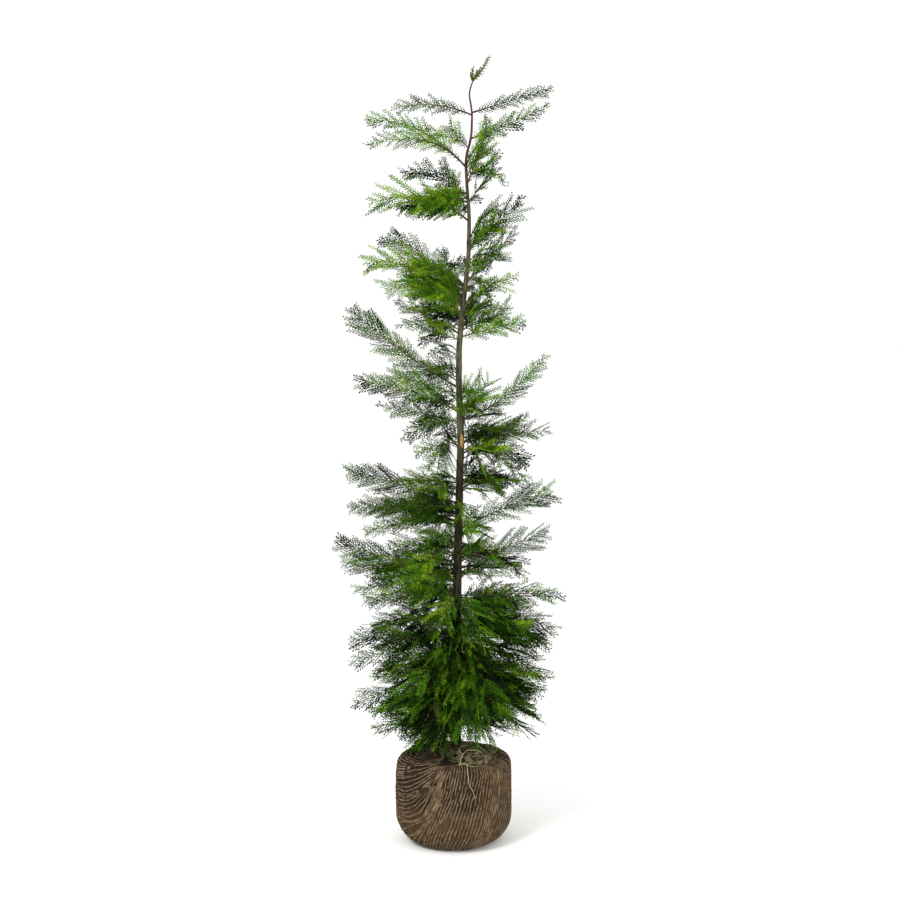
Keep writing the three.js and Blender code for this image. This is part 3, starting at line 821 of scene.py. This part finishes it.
# Heights that part the foliage into pieces of a handy size
TIERS = {"low": (0.0, 0.50), "mid": (0.50, 0.86), "high": (0.86, 1.30), "top": (1.30, 2.1)}
STOUTER = {"low": 1.1, "mid": 1.12, "high": 1.15, "top": 1.25}  # scale leaves, where sprays stand alone
TWIG_SHARE = 0.18  # of a lobe, from its foot, that is bare wood
TWIG_STOUTER = 1.12  # so that the wood covers the green stem inside it


def foliage():
    """For each green, pieces with the stems of its lobes, its strokes and their scale leaves."""
    nodes = spray_nodes
    for number, (green, colour) in enumerate(GREENS.items()):
        material = leaf_material(f"conifer_scale_leaves_{green}", colour)
        coarser = COARSER if green == "shade" else 1.0
        for tier, (low, high) in TIERS.items():
            own = []
            for group in (feathers, strokes):
                height = group.foot[:, 2]
                own.append(group.pick((group.green == number) & (height >= low) & (height < high)))
            if not len(own[0].foot) or not len(own[1].foot):
                continue
            parts = [
                stems(own[0], sides=4, rings=4, tip_size=0.5, squash=0.8),
                stems(own[1], sides=3, rings=1, tip_size=1.0, squash=0.8),
                scale_leaves(own[1], coarser, STOUTER[tier]),
            ]
            name = f"leaves_{green}_{tier}"
            piece_from(name, joined(parts), material, nodes, smooth=False)
            nodes = ()


foliage()
bark = bark_material("young_conifer_bark")
woody = foot_parts(lobes, TWIG_SHARE)
woody.radius = woody.radius * TWIG_STOUTER
twigs = stems(woody, sides=4, rings=2, tip_size=0.8, squash=1.0)
piece_from("twigs", twigs, twig_bark_material("green_conifer_twig"))


# --- Trunk and boughs ---


def sweep(points, radii, sides, facing, relief=None):
    """A closed tube along points. facing is what its first side looks towards."""
    count = len(points)
    heading = unit(np.gradient(points, axis=0))
    side = unit(np.cross(heading, facing))
    up = np.cross(side, heading)
    angle = 2 * np.pi * np.arange(sides) / sides
    size = np.repeat(np.broadcast_to(radii, (count,))[:, None], sides, axis=1)
    if relief is not None:
        size = size + relief(angle[None, :], (points[0, 2] + path_length(points))[:, None], size)
    ring = side[:, None] * np.cos(angle)[None, :, None] - up[:, None] * np.sin(angle)[None, :, None]
    vertices = (points[:, None] + ring * size[..., None]).reshape(-1, 3)
    return np.concatenate([vertices, points[:1], points[-1:]]), closed_rings(count, sides)


CRACK_DEPTH = 0.06  # of the radius
PLATE_HEIGHT = 0.035


def fissures(angle, along, size):
    """Shallow long cracks that wander up young bark, and the low plates between them."""
    warp = 1.3 * np.sin(along * 31) + 0.8 * np.sin(along * 77 + 2 * angle)
    cracks = -np.abs(np.sin(3.5 * angle + warp)) ** 6 * CRACK_DEPTH
    plates = PLATE_HEIGHT * np.sin(along * 210 + 3 * np.sin(2 * angle)) * np.sin(5 * angle + along * 40)
    return size * (cracks + plates)


FRONT = np.array([0.0, -1.0, 0.0])
TRUNK_SIDES = 24
BOUGH_SHARE = 0.5  # of every limb, from its foot, that has bark
BOUGH_STEP = 0.008
BOUGH_SIDES = 10
BOUGH_END = 0.22  # how thick a bough is where its bark ends, for its foot


def bough_bark():
    """The woody first half of every limb, cracked as the trunk is."""
    woody = foot_parts(limbs, BOUGH_SHARE)
    tubes = []
    for i in range(len(woody.foot)):
        t = np.linspace(0, 1, max(int(woody.length[i] / BOUGH_STEP), 4))
        radii = woody.radius[i] * (1 - (1 - BOUGH_END) * t)
        line = woody.point(np.full(len(t), i), t)
        tubes.append(sweep(line, radii, BOUGH_SIDES, woody.flat[i], fissures))
    return joined(tubes)


trunk = sweep(stem_points, stem_radius(stem_heights), TRUNK_SIDES, FRONT, fissures)
piece_from("trunk_bark", trunk, bark, ["trunk"])
piece_from("boughs", bough_bark(), bark, bough_nodes)


# --- Root ball ---

SOIL_SIDES = 288
SOIL_CRUMB = 0.0011  # height of the crumbs and dents in the soil
DENT_WAVE = 0.030  # how long the dents and the crumbs are
CRUMB_WAVE = 0.009
CRUMB_SHARE = 0.8  # height of the crumbs for that of the dents
PROFILE_STEPS = 34  # along each curve of the ball's side
SEAT_STEPS = 18


def bezier(a, b, c, d, steps=PROFILE_STEPS):
    t = np.linspace(0, 1, steps, endpoint=False)[:, None]
    a, b, c, d = (np.array(point) for point in (a, b, c, d))
    return a * (1 - t) ** 3 + 3 * b * t * (1 - t) ** 2 + 3 * c * t * t * (1 - t) + d * t**3


def side_profile():
    """Radius and height up the side of the ball, from the edge of its underside to its seat."""
    r, swell, shoulder, top = BALL_RADIUS, BALL_SWELL, BALL_SHOULDER, BALL_HEIGHT
    low = bezier((BALL_FOOT, 0), (BALL_FOOT + 0.036, 0.002), (r, swell * 0.42), (r, swell))
    turn = (r - 0.001, shoulder)
    rim = (r - 0.042, top - 0.003)
    side = bezier((r, swell), (r + 0.001, swell + 0.04), (r + 0.001, shoulder - 0.04), turn)
    high = bezier(turn, (r - 0.002, shoulder + 0.022), (r - 0.012, top - 0.005), rim)
    seat = bezier(rim, (0.085, top), (0.060, top), (BALL_SEAT, top), SEAT_STEPS)
    return np.concatenate([low, side, high, seat, [(BALL_SEAT, top)]])


profile = side_profile()
profile_length = path_length(profile)


def lump(angle, height):
    """Unevenness of the packed soil in one direction, from -1 to 1."""
    height = height * 1000
    return (
        np.sin(2 * angle + 0.6) * 0.45
        + np.sin(3 * angle - height / 60) * 0.35
        + np.sin(5 * angle + height / 34) * 0.2
    )


def on_ball(angle, along, proud=0.0):
    """Points on the side of the ball, proud of the soil, and which way is outward there. angle is
    round the Z axis, and along is measured up the side from the edge of the underside."""
    radius = np.interp(along, profile_length, profile[:, 0])
    height = np.interp(along, profile_length, profile[:, 1])
    step = 0.002
    out = np.interp(along + step, profile_length, profile[:, 0])
    out = out - np.interp(along - step, profile_length, profile[:, 0])
    rise = np.interp(along + step, profile_length, profile[:, 1])
    rise = rise - np.interp(along - step, profile_length, profile[:, 1])
    loose = np.clip(along / 0.02, 0, 1) * np.clip((profile_length[-1] - along) / 0.03, 0, 1)
    radius = radius + BALL_LUMPS * lump(angle, height) * loose
    away = np.stack([np.cos(angle), np.sin(angle), np.zeros_like(angle)], axis=-1)
    up = np.array([0.0, 0.0, 1.0])
    outward = unit(away * rise[..., None] - up * out[..., None])
    points = away * radius[..., None] + up * height[..., None]
    return points + outward * proud, outward


def ripples(points, scale, count=14):
    """Smooth seeded unevenness from -1 to 1 at points, with waves about scale long."""
    total = np.zeros(points.shape[:-1])
    for _ in range(count):
        wave = unit(chance.normal(0, 1, 3)) * 2 * np.pi / (scale * chance.uniform(0.6, 1.6))
        total += np.sin(points @ wave + chance.uniform(0, 2 * np.pi))
    return total / math.sqrt(count)


def soil_body():
    angle = 2 * np.pi * np.arange(SOIL_SIDES) / SOIL_SIDES
    around, along = np.meshgrid(angle, profile_length)
    points, outward = on_ball(around, along)
    inside = np.clip(along / 0.01, 0, 1) * np.clip((profile_length[-1] - along) / 0.01, 0, 1)
    dents = ripples(points, DENT_WAVE) + CRUMB_SHARE * ripples(points, CRUMB_WAVE)
    points = points + outward * (SOIL_CRUMB * dents * inside)[..., None]
    points[..., 2] = np.maximum(points[..., 2], 0)
    vertices = np.concatenate([points.reshape(-1, 3), [(0, 0, 0), (0, 0, BALL_HEIGHT)]])
    return vertices, closed_rings(len(profile_length), SOIL_SIDES)


DUST_TOP = 0.112  # height up to which fibre and dust lighten the ball
DUST_RIGHT = 0.083  # how far to the right it is lightened higher up as well
DUST_SHOULDER = 0.206  # height above which there is dark soil again


def dust_share(tree, place):
    """How dusty the ball is at a place, from 0 on moist soil to 1 on pale fibre, with an edge that
    wanders in patches 38 mm across."""
    axes = add(tree, "ShaderNodeSeparateXYZ", {}, Vector=place).outputs
    patches = add(tree, "ShaderNodeTexNoise", {"Scale": 26.0, "Detail": 3.0}, Vector=place)
    height = add(tree, "ShaderNodeMath", {"operation": "SUBTRACT", 0: axes["Z"], 1: DUST_TOP})
    right = add(tree, "ShaderNodeMath", {"operation": "SUBTRACT", 0: DUST_RIGHT, 1: axes["X"]})
    lower = {"operation": "MINIMUM", 0: height.outputs[0], 1: right.outputs[0]}
    nearer = add(tree, "ShaderNodeMath", lower)
    shoulder = add(tree, "ShaderNodeMath", {"operation": "SUBTRACT", 0: axes["Z"], 1: DUST_SHOULDER})
    higher = {"operation": "MAXIMUM", 0: nearer.outputs[0], 1: shoulder.outputs[0]}
    edge = add(tree, "ShaderNodeMath", higher)
    frayed = {"operation": "MULTIPLY_ADD", 0: patches.outputs["Fac"], 1: 0.09, 2: edge.outputs[0]}
    ragged = add(tree, "ShaderNodeMath", frayed).outputs[0]
    fade = {"From Min": 0.028, "From Max": 0.062, "To Min": 1.0, "To Max": 0.0}
    return add(tree, "ShaderNodeMapRange", fade, Value=ragged).outputs["Result"]


def soil_material(name):
    """Moist dark garden soil pressed through a net, in crumbs of 6 mm, with tan dust and fibre on its
    lower half. The fibres are finer than the render shows, so they are drawn 2 mm wide."""
    material, tree = new_material(name, 0.92, 0.25)
    place = add(tree, "ShaderNodeTexCoord").outputs["Object"]
    coarse = {"Scale": 160.0, "Detail": 5.0, "Roughness": 0.65}
    crumbs = add(tree, "ShaderNodeTexNoise", coarse, Vector=place).outputs["Fac"]
    stops = [(0.35, linear("#150C06")), (0.72, linear("#3E2C1C"))]
    earth = add(tree, "ShaderNodeValToRGB", {"stops": stops}, Fac=crumbs).outputs["Color"]
    fine = {"Scale": 420.0, "Detail": 3.0, "Roughness": 0.7}
    fibre = add(tree, "ShaderNodeTexNoise", fine, Vector=place)
    stops = [(0.3, linear("#2C1F12")), (0.75, linear("#55412A"))]
    dusty = add(tree, "ShaderNodeValToRGB", {"stops": stops}, Fac=fibre.outputs["Fac"]).outputs["Color"]
    mixed = {"data_type": "RGBA", 0: dust_share(tree, place), 6: earth, 7: dusty}
    coat(tree, add(tree, "ShaderNodeMix", mixed).outputs[2], crumbs, 0.7, 0.002)
    return material


piece_from("soil_body", soil_body(), soil_material("moist_packed_soil"), ["root_ball"])


# --- Net ---

# The net's ribs leave a gather at the front of the top. Those on the left bend round the side and fall at
# the back, those in front hang leaning, and those on the right leave the wad of spare netting. Each row is
# how many ribs there are from this one to the next, then places along it: degrees to the left of the
# front, and millimetres up the side from the edge of the underside.
RIB_GUIDES = [
    (3, [(-64, 306), (-80, 285), (-92, 262), (-96, 200), (-92, 130), (-84, 60), (-80, 3)]),
    (5, [(-60, 300), (-68, 270), (-72, 225), (-74, 170), (-68, 110), (-62, 50), (-58, 3)]),
    (6, [(-50, 296), (-53, 262), (-52, 200), (-48, 140), (-41, 75), (-36, 3)]),
    (5, [(-38, 290), (-39, 250), (-37, 190), (-32, 130), (-24, 60), (-20, 3)]),
    (5, [(-24, 284), (-25, 245), (-19, 185), (-12, 120), (-4, 50), (0, 3)]),
    (5, [(-10, 282), (-8, 245), (-3, 190), (5, 130), (14, 70), (24, 3)]),
    (4, [(2, 278), (7, 235), (11, 190), (17, 150), (24, 110), (34, 60), (48, 3)]),
    (3, [(5, 276), (10, 235), (15, 195), (22, 155), (32, 110), (48, 75), (70, 50), (92, 3)]),
    (3, [
        (8, 272), (14, 232), (20, 195), (28, 150), (38, 122), (50, 110), (70, 108), (105, 84), (132, 3)
    ]),
    (2, [
        (10, 270), (15, 240), (25, 205), (38, 165), (50, 144), (70, 135), (100, 130), (136, 92), (158, 3)
    ]),
    (2, [
        (11, 270), (17, 240), (26, 215), (42, 178), (56, 161), (74, 156), (110, 150), (154, 110), (180, 3)
    ]),
    (2, [
        (13, 268), (20, 240), (32, 208), (48, 182), (64, 174), (86, 174), (130, 160), (176, 120), (200, 3)
    ]),
    (2, [
        (15, 268), (26, 238), (40, 213), (54, 197), (68, 190), (90, 188), (140, 175), (192, 130), (216, 3)
    ]),
    (3, [(18, 272), (31, 248), (48, 227), (67, 211), (90, 202), (150, 190), (205, 140), (230, 3)]),
    (3, [(20, 286), (33, 256), (52, 238), (79, 224), (120, 216), (180, 190), (220, 130), (242, 3)]),
    (3, [
        (22, 296), (31, 274), (47, 257), (64, 250), (90, 246), (150, 232), (205, 190), (240, 100),
        (252, 3)
    ]),
    (3, [
        (26, 322), (35, 300), (46, 284), (60, 276), (84, 270), (140, 258), (205, 220), (244, 120),
        (262, 3)
    ]),
    (3, [(36, 336), (56, 318), (84, 306), (130, 294), (190, 262), (238, 190), (264, 80), (272, 3)]),
    (3, [(60, 342), (100, 330), (150, 312), (200, 284), (236, 240), (256, 170), (268, 80), (274, 3)]),
    (3, [(120, 338), (155, 328), (190, 312), (225, 284), (248, 240), (261, 170), (271, 80), (276, 3)]),
    (2, [(180, 334), (208, 322), (234, 304), (252, 272), (260, 225), (264, 150), (273, 70), (278, 3)]),
    (1, [(236, 330), (252, 314), (262, 288), (264, 250), (264, 200), (267, 130), (275, 60), (280, 3)]),
]
FRONT_ROWS = 8  # of those rows, the ones at the front
RIB_POINTS = 90  # places worked out along each guide
RIB_STEP = 0.004
RIB_WOBBLE = 0.0007
WOBBLE_FADE = 0.05  # it sets in over this much of a rib
RIB_END = 0.021  # ribs stop this far up the side, clear of the floor
RIB_ROOM = 0.0056  # the ribs between two guides start where each has this much room
STITCH_PITCH = 0.0056
STITCH_LENGTH = 0.0082
STITCH_WIDTH = 0.0021
THREAD = 0.00056
INLAY_THREAD = 0.00045
NET_PROUD = 0.0008  # how far the ribs lie out from the soil, and the inlay
INLAY_PROUD = 0.0006


def smooth_line(knots, steps=8):
    """A rounded line through the knots."""
    knots = np.array(knots)
    before = np.concatenate([[2 * knots[0] - knots[1]], knots[:-1]])[:-1]
    after = np.concatenate([knots[2:], [2 * knots[-1] - knots[-2]]])
    t = np.linspace(0, 1, steps, endpoint=False)[:, None]
    parts = []
    for a, b, c, d in zip(before, knots[:-1], knots[1:], after):
        straight = 2 * b + (c - a) * t
        bent = straight + (2 * a - 5 * b + 4 * c - d) * t * t
        parts.append(0.5 * (bent + (3 * b - a - 3 * c + d) * t**3))
    return np.concatenate(parts + [knots[-1:]])


def spaced(line, count):
    """A line as count evenly spaced points."""
    length = path_length(line)
    even = np.linspace(0, length[-1], count)
    return np.stack([np.interp(even, length, line[:, axis]) for axis in range(line.shape[1])], axis=1)


def unrolled(rows):
    """A rib's places as distance round the ball to the left and up its side, in metres."""
    line = smooth_line(rows) * [math.radians(BALL_RADIUS), 0.001]
    return spaced(line, RIB_POINTS)


def waves(place, first, second, phases):
    """Two waves of different lengths along a rib, from -2 to 2 in all."""
    return np.sin(place * first + phases[0]) + np.sin(place * second + phases[1])


def net_ribs():
    """Angles round the Z axis and places up the side for each rib, and where its stitches start."""
    ribs = []
    guides = [unrolled(rows) for _, rows in RIB_GUIDES]
    counts = [count for count, _ in RIB_GUIDES]
    for first, second, count in zip(guides, guides[1:] + guides[-1:], counts):
        roomy = np.linalg.norm(second - first, axis=1) > RIB_ROOM * count
        for share in np.arange(count) / count:
            line = first * (1 - share) + second * share
            line = spaced(line, int(np.linalg.norm(np.diff(line, axis=0), axis=1).sum() / RIB_STEP))
            place = np.arange(len(line)) * RIB_STEP
            phase = chance.uniform(0, 2 * np.pi, 4)
            wobble = RIB_WOBBLE * np.clip(place / WOBBLE_FADE, 0, 1)
            left = line[:, 0] + wobble * waves(place, 70, 160, phase[:2])
            along = line[:, 1] + wobble * waves(place, 60, 150, phase[2:])
            clear = along > RIB_END
            start = int(np.argmax(roomy) / len(roomy) * len(line)) if share else 0
            ribs.append((math.radians(-90) - left[clear] / BALL_RADIUS, along[clear], start))
    return ribs


def cord_object(name, lines):
    """A mesh of edges along lines of (points, outward), for the knitting tree to work on."""
    points = np.concatenate([line for line, _ in lines])
    outward = np.concatenate([way for _, way in lines])
    edges, base = [], 0
    for line, _ in lines:
        i = np.arange(base, base + len(line) - 1)
        edges.append(np.stack([i, i + 1], axis=1))
        base += len(line)
    mesh = bpy.data.meshes.new(name)
    mesh.from_pydata(points.tolist(), np.concatenate(edges).tolist(), [])
    mesh.attributes.new("outward", "FLOAT_VECTOR", "POINT").data.foreach_set("vector", outward.ravel())
    return in_scene(name, mesh)


KNIT_INPUTS = {
    "Stitch Pitch": STITCH_PITCH,
    "Stitch Length": STITCH_LENGTH,
    "Stitch Width": STITCH_WIDTH,
    "Thread Radius": THREAD,
}
KNIT_SEED = 7


def knitting_tree(material):
    """Chain stitches along every edge line: slack oval loops of thread, each lying into the next."""
    tree = bpy.data.node_groups.new("chain_stitches", "GeometryNodeTree")
    tree.interface.new_socket("Geometry", in_out="INPUT", socket_type="NodeSocketGeometry")
    for name in KNIT_INPUTS:
        tree.interface.new_socket(name, in_out="INPUT", socket_type="NodeSocketFloat")
    tree.interface.new_socket("Geometry", in_out="OUTPUT", socket_type="NodeSocketGeometry")
    given = add(tree, "NodeGroupInput").outputs
    lines = add(tree, "GeometryNodeMeshToCurve", {}, Mesh=given["Geometry"])
    evenly = add(
        tree,
        "GeometryNodeResampleCurve",
        {"mode": "LENGTH"},
        Curve=lines.outputs["Curve"],
        Length=given["Stitch Pitch"],
    )
    oval = add(tree, "GeometryNodeCurvePrimitiveCircle", {"Resolution": 7, "Radius": 0.5})
    size = add(tree, "ShaderNodeCombineXYZ", {"Z": 1.0}, X=given["Stitch Length"], Y=given["Stitch Width"])
    scaled = {"Scale": size.outputs["Vector"]}
    loop = add(tree, "GeometryNodeTransform", scaled, Geometry=oval.outputs["Curve"])
    thread = add(tree, "GeometryNodeCurvePrimitiveCircle", {"Resolution": 3}, Radius=given["Thread Radius"])
    spun = {"Profile Curve": thread.outputs["Curve"]}
    stitch = add(tree, "GeometryNodeCurveToMesh", spun, Curve=loop.outputs["Geometry"])
    outward = add(tree, "GeometryNodeInputNamedAttribute", {"data_type": "FLOAT_VECTOR", "Name": "outward"})
    tangent = add(tree, "GeometryNodeInputTangent")
    turned = add(
        tree,
        "FunctionNodeAxesToRotation",
        {"primary_axis": "X", "secondary_axis": "Z"},
        Primary_Axis=tangent.outputs["Tangent"],
        Secondary_Axis=outward.outputs["Attribute"],
    )
    stitches = add(
        tree,
        "GeometryNodeInstanceOnPoints",
        {"Instance": stitch.outputs["Mesh"], "Rotation": turned.outputs["Rotation"]},
        Points=evenly.outputs["Curve"],
    )
    slack = add(
        tree,
        "FunctionNodeRandomValue",
        {"data_type": "FLOAT_VECTOR", "Seed": KNIT_SEED, 0: (-0.55, -0.22, -0.25), 1: (0.55, 0.05, 0.25)},
    )
    slackened = {"Rotation": slack.outputs[0]}
    twisted = add(tree, "GeometryNodeRotateInstances", slackened, Instances=stitches.outputs["Instances"])
    real = add(tree, "GeometryNodeRealizeInstances", {}, Geometry=twisted.outputs["Instances"])
    jute = {"Material": material}
    painted = add(tree, "GeometryNodeSetMaterial", jute, Geometry=real.outputs["Geometry"])
    add(tree, "NodeGroupOutput", {}, Geometry=painted.outputs["Geometry"])
    return tree


def knitted(name, lines, tree):
    """Stitches along lines as one finished piece."""
    piece = cord_object(name, lines)
    knit = piece.modifiers.new("knit", "NODES")
    knit.node_group = tree
    for socket in tree.interface.items_tree:
        if socket.in_out == "INPUT" and socket.name in KNIT_INPUTS:
            knit[socket.identifier] = KNIT_INPUTS[socket.name]
    piece.update_tag()
    graph = bpy.context.evaluated_depsgraph_get()
    mesh = bpy.data.meshes.new_from_object(piece.evaluated_get(graph))
    mesh.polygons.foreach_set("use_smooth", np.ones(len(mesh.polygons), dtype=bool))
    piece.modifiers.clear()
    piece.data = mesh
    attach(piece, BODY)


def jute_material(name, dull, pale, soiled=None):
    """Jute thread: dull, hairy, uneven tan in patches 17 mm long, and darker where damp soil has rubbed
    into it. Its hairs are finer than the render shows, so they are drawn 0.7 mm apart."""
    material, tree = new_material(name, 0.9, 0.2)
    place = add(tree, "ShaderNodeTexCoord").outputs["Object"]
    dirty = {"Scale": 60.0, "Detail": 4.0, "Roughness": 0.6}
    dirt = add(tree, "ShaderNodeTexNoise", dirty, Vector=place)
    stops = [(0.36, linear(dull)), (0.66, linear(pale))]
    colour = add(tree, "ShaderNodeValToRGB", {"stops": stops}, Fac=dirt.outputs["Fac"]).outputs["Color"]
    if soiled:
        settings = {"data_type": "RGBA", 0: dust_share(tree, place), 6: linear(soiled), 7: colour}
        colour = add(tree, "ShaderNodeMix", settings).outputs[2]
    hair = add(tree, "ShaderNodeTexNoise", {"Scale": 1500.0, "Detail": 2.0}, Vector=place)
    coat(tree, colour, hair.outputs["Fac"], 0.5, 0.0004)
    return material


knitting = knitting_tree(jute_material("soiled_jute_thread", "#66523A", "#AA9272"))
ribs = net_ribs()
front_ribs = sum(count for count, _ in RIB_GUIDES[:FRONT_ROWS])
for name, part in (("net_ribs_front", ribs[:front_ribs]), ("net_ribs_back", ribs[front_ribs:])):
    lines = [on_ball(angle[start:], along[start:], NET_PROUD) for angle, along, start in part]
    knitted(name, lines, knitting)


def inlay():
    """Thin thread that runs to and fro between each rib and the next."""
    threads = []
    for (angle_a, along_a, _), (angle_b, along_b, _) in zip(ribs, ribs[1:]):
        shared = min(len(angle_a), len(angle_b))
        if shared < 4:
            continue
        first = np.arange(shared) % 2 == 0
        angle = np.where(first, angle_a[:shared], angle_b[:shared])
        along = np.where(first, along_a[:shared], along_b[:shared])
        points, outward = on_ball(angle, along, INLAY_PROUD)
        threads.append(sweep(points, INLAY_THREAD, 3, outward))
    return joined(threads)


inlay_jute = jute_material("soil_stained_jute_thread", "#42311E", "#725C3C", "#20150D")
piece_from("net_inlay", inlay(), inlay_jute)

# The gathered netting: a wad towards the front right, a collar round the foot of the trunk, and what is
# drawn over the right shoulder of the ball
WAD = {"centre": (0.038, -0.070, 0.232), "radii": (0.050, 0.042, 0.027), "cords": 54}
COLLAR = {"centre": (0.003, 0.0, 0.231), "radii": (0.032, 0.032, 0.020), "cords": 22}
SHOULDER = {"centre": (0.074, 0.004, 0.226), "radii": (0.046, 0.060, 0.012), "cords": 26}
GATHERED = (WAD, COLLAR, SHOULDER)
CORD = 0.0011
CORD_STEP = 0.0026


def crumpled_cords(centre, radii, cords):
    """Ravelled cords that wander in loops over a lumpy oval."""
    centre, radii = np.array(centre), np.array(radii)
    threads = []
    for _ in range(cords):
        spot = unit(chance.normal(0, 1, 3) * [1, 1, 0.5] + [0, 0, 0.35])
        way = unit(np.cross(spot, chance.normal(0, 1, 3)))
        steps = int(chance.integers(16, 44))
        curl, phase = chance.uniform(-0.35, 0.35), chance.uniform(0, 6, 3)
        lift = chance.uniform(0.80, 1.12)
        line = []
        for step in range(steps):
            bump = 0.05 * math.sin(step * 0.9 + phase[0]) + 0.04 * math.sin(step * 0.37 + phase[1])
            line.append(centre + spot * radii * (lift + bump))
            turn = curl + 0.45 * math.sin(step * 0.31 + phase[2])
            aside = np.cross(spot, way)
            way = way * math.cos(turn) + aside * math.sin(turn)
            spot = unit(spot + way * CORD_STEP / radii.mean())
            spot[2] = max(spot[2], -0.15)
            way = unit(way - spot * (way @ spot))
        line = np.array(line)
        threads.append(sweep(line, CORD, 5, unit(line - centre + [0.001, 0, 0.02])))
    return joined(threads)


def mound(centre, radii):
    """The dark middle of gathered netting, as a lumpy dome: painted shade in the gaps between the cords."""
    rings, sides = 10, 24
    polar = np.linspace(0.02, np.pi - 0.02, rings)
    a, b = np.meshgrid(2 * np.pi * np.arange(sides) / sides, polar)
    way = np.stack([np.cos(a) * np.sin(b), np.sin(a) * np.sin(b), -np.cos(b)], axis=-1)
    bumpy = 0.80 + 0.05 * np.sin(3 * a + 2 * b) + 0.04 * np.sin(5 * a - b)
    points = (np.array(centre) + way * np.array(radii) * bumpy[..., None]).reshape(-1, 3)
    ends = np.array([points[:sides].mean(axis=0), points[-sides:].mean(axis=0)])
    return np.concatenate([points, ends]), closed_rings(rings, sides)


weathered = jute_material("weathered_jute_cord", "#4E4832", "#918868")
cords = joined([crumpled_cords(**place) for place in GATHERED])
piece_from("net_gather", cords, weathered, ["net_neck"])
# The mounds are painted shade: a dark sheet under the gathered cords for the shade in their gaps
fold_shade_jute = jute_material("painted_shade_folded_jute", "#221A0F", "#40351F")
folds = joined([mound(place["centre"], place["radii"]) for place in GATHERED])
piece_from("net_folds", folds, fold_shade_jute)

# Loose pale threads, each as its points in turn; the first hangs down the front of the ball
LOOSE_THREADS = [
    [
        (0.033, -0.126, 0.232), (0.033, -0.141, 0.222), (0.035, -0.1495, 0.205),
        (0.038, -0.1500, 0.186), (0.047, -0.1475, 0.168), (0.052, -0.1460, 0.150),
    ],
    [(0.014, -0.122, 0.224), (0.018, -0.112, 0.244), (0.030, -0.098, 0.257), (0.048, -0.092, 0.259)],
    [(0.048, -0.092, 0.259), (0.062, -0.092, 0.256), (0.074, -0.094, 0.246), (0.082, -0.104, 0.229)],
    [(0.010, -0.120, 0.230), (0.028, -0.120, 0.230), (0.044, -0.121, 0.224), (0.060, -0.118, 0.224)],
    [(0.056, -0.060, 0.262), (0.068, -0.068, 0.258), (0.078, -0.078, 0.247), (0.092, -0.088, 0.233)],
    [(0.022, -0.104, 0.251), (0.014, -0.092, 0.258), (0.018, -0.078, 0.264), (0.034, -0.074, 0.265)],
]
LOOSE_THREAD = 0.0009


def loose_threads():
    threads = []
    for knots in LOOSE_THREADS:
        points = smooth_line(knots)
        taper = LOOSE_THREAD * np.linspace(1.15, 0.7, len(points))
        threads.append(sweep(points, taper, 6, unit(points * [1, 1, 0] + [0, 0, 0.05])))
    return joined(threads)


pale_jute = jute_material("clean_jute_thread", "#8F7F5D", "#BDAE8A")
piece_from("loose_threads", loose_threads(), pale_jute)

# --- Studio ---

FLOOR_HALF = 200.0
WORLD_STRENGTH = 1.1
# Each soft light: its place, power in watts and width
LIGHTS = {"key": ((-2.2, -3.2, 4.0), 160, 1.6), "fill": ((3.0, -2.4, 2.2), 40, 2.4)}
LIT_POINT = Vector((0, 0, 1.0))
CAMERA_DISTANCE = 4.2
CAMERA_HEIGHT = 1.40
CAMERA_SIDE = -0.0103
CAMERA_PITCH = 5.3
LENS = 66.5
SENSOR = 36


def studio():
    mesh = bpy.data.meshes.new("floor")
    corners = [(FLOOR_HALF * x, FLOOR_HALF * y, 0) for x, y in ((-1, -1), (1, -1), (1, 1), (-1, 1))]
    mesh.from_pydata(corners, [], [(0, 1, 2, 3)])
    material, tree = new_material("pale_floor_paint", 0.9)
    tree.nodes["Principled BSDF"].inputs["Base Color"].default_value = linear("#F6F6F4")
    mesh.materials.append(material)
    in_scene("floor", mesh)

    world = bpy.context.scene.world or bpy.data.worlds.new("studio")
    bpy.context.scene.world = world
    world.use_nodes = True
    background = world.node_tree.nodes["Background"]
    background.inputs["Color"].default_value = (1.0, 1.0, 1.0, 1.0)
    background.inputs["Strength"].default_value = WORLD_STRENGTH

    for name, (place, power, size) in LIGHTS.items():
        light = bpy.data.lights.new(name, "AREA")
        light.shape = "DISK"
        light.size = size
        light.energy = power
        lamp = in_scene(name, light)
        lamp.location = place
        lamp.rotation_euler = (LIT_POINT - Vector(place)).to_track_quat("-Z", "Y").to_euler()

    lens = bpy.data.cameras.new("camera")
    lens.lens = LENS
    lens.sensor_width = SENSOR
    camera = in_scene("camera", lens)
    camera.location = (CAMERA_SIDE, -CAMERA_DISTANCE, CAMERA_HEIGHT)
    camera.rotation_euler = (math.radians(90 - CAMERA_PITCH), 0, 0)
    bpy.context.scene.camera = camera
    bpy.context.scene.view_settings.view_transform = "Standard"


studio()
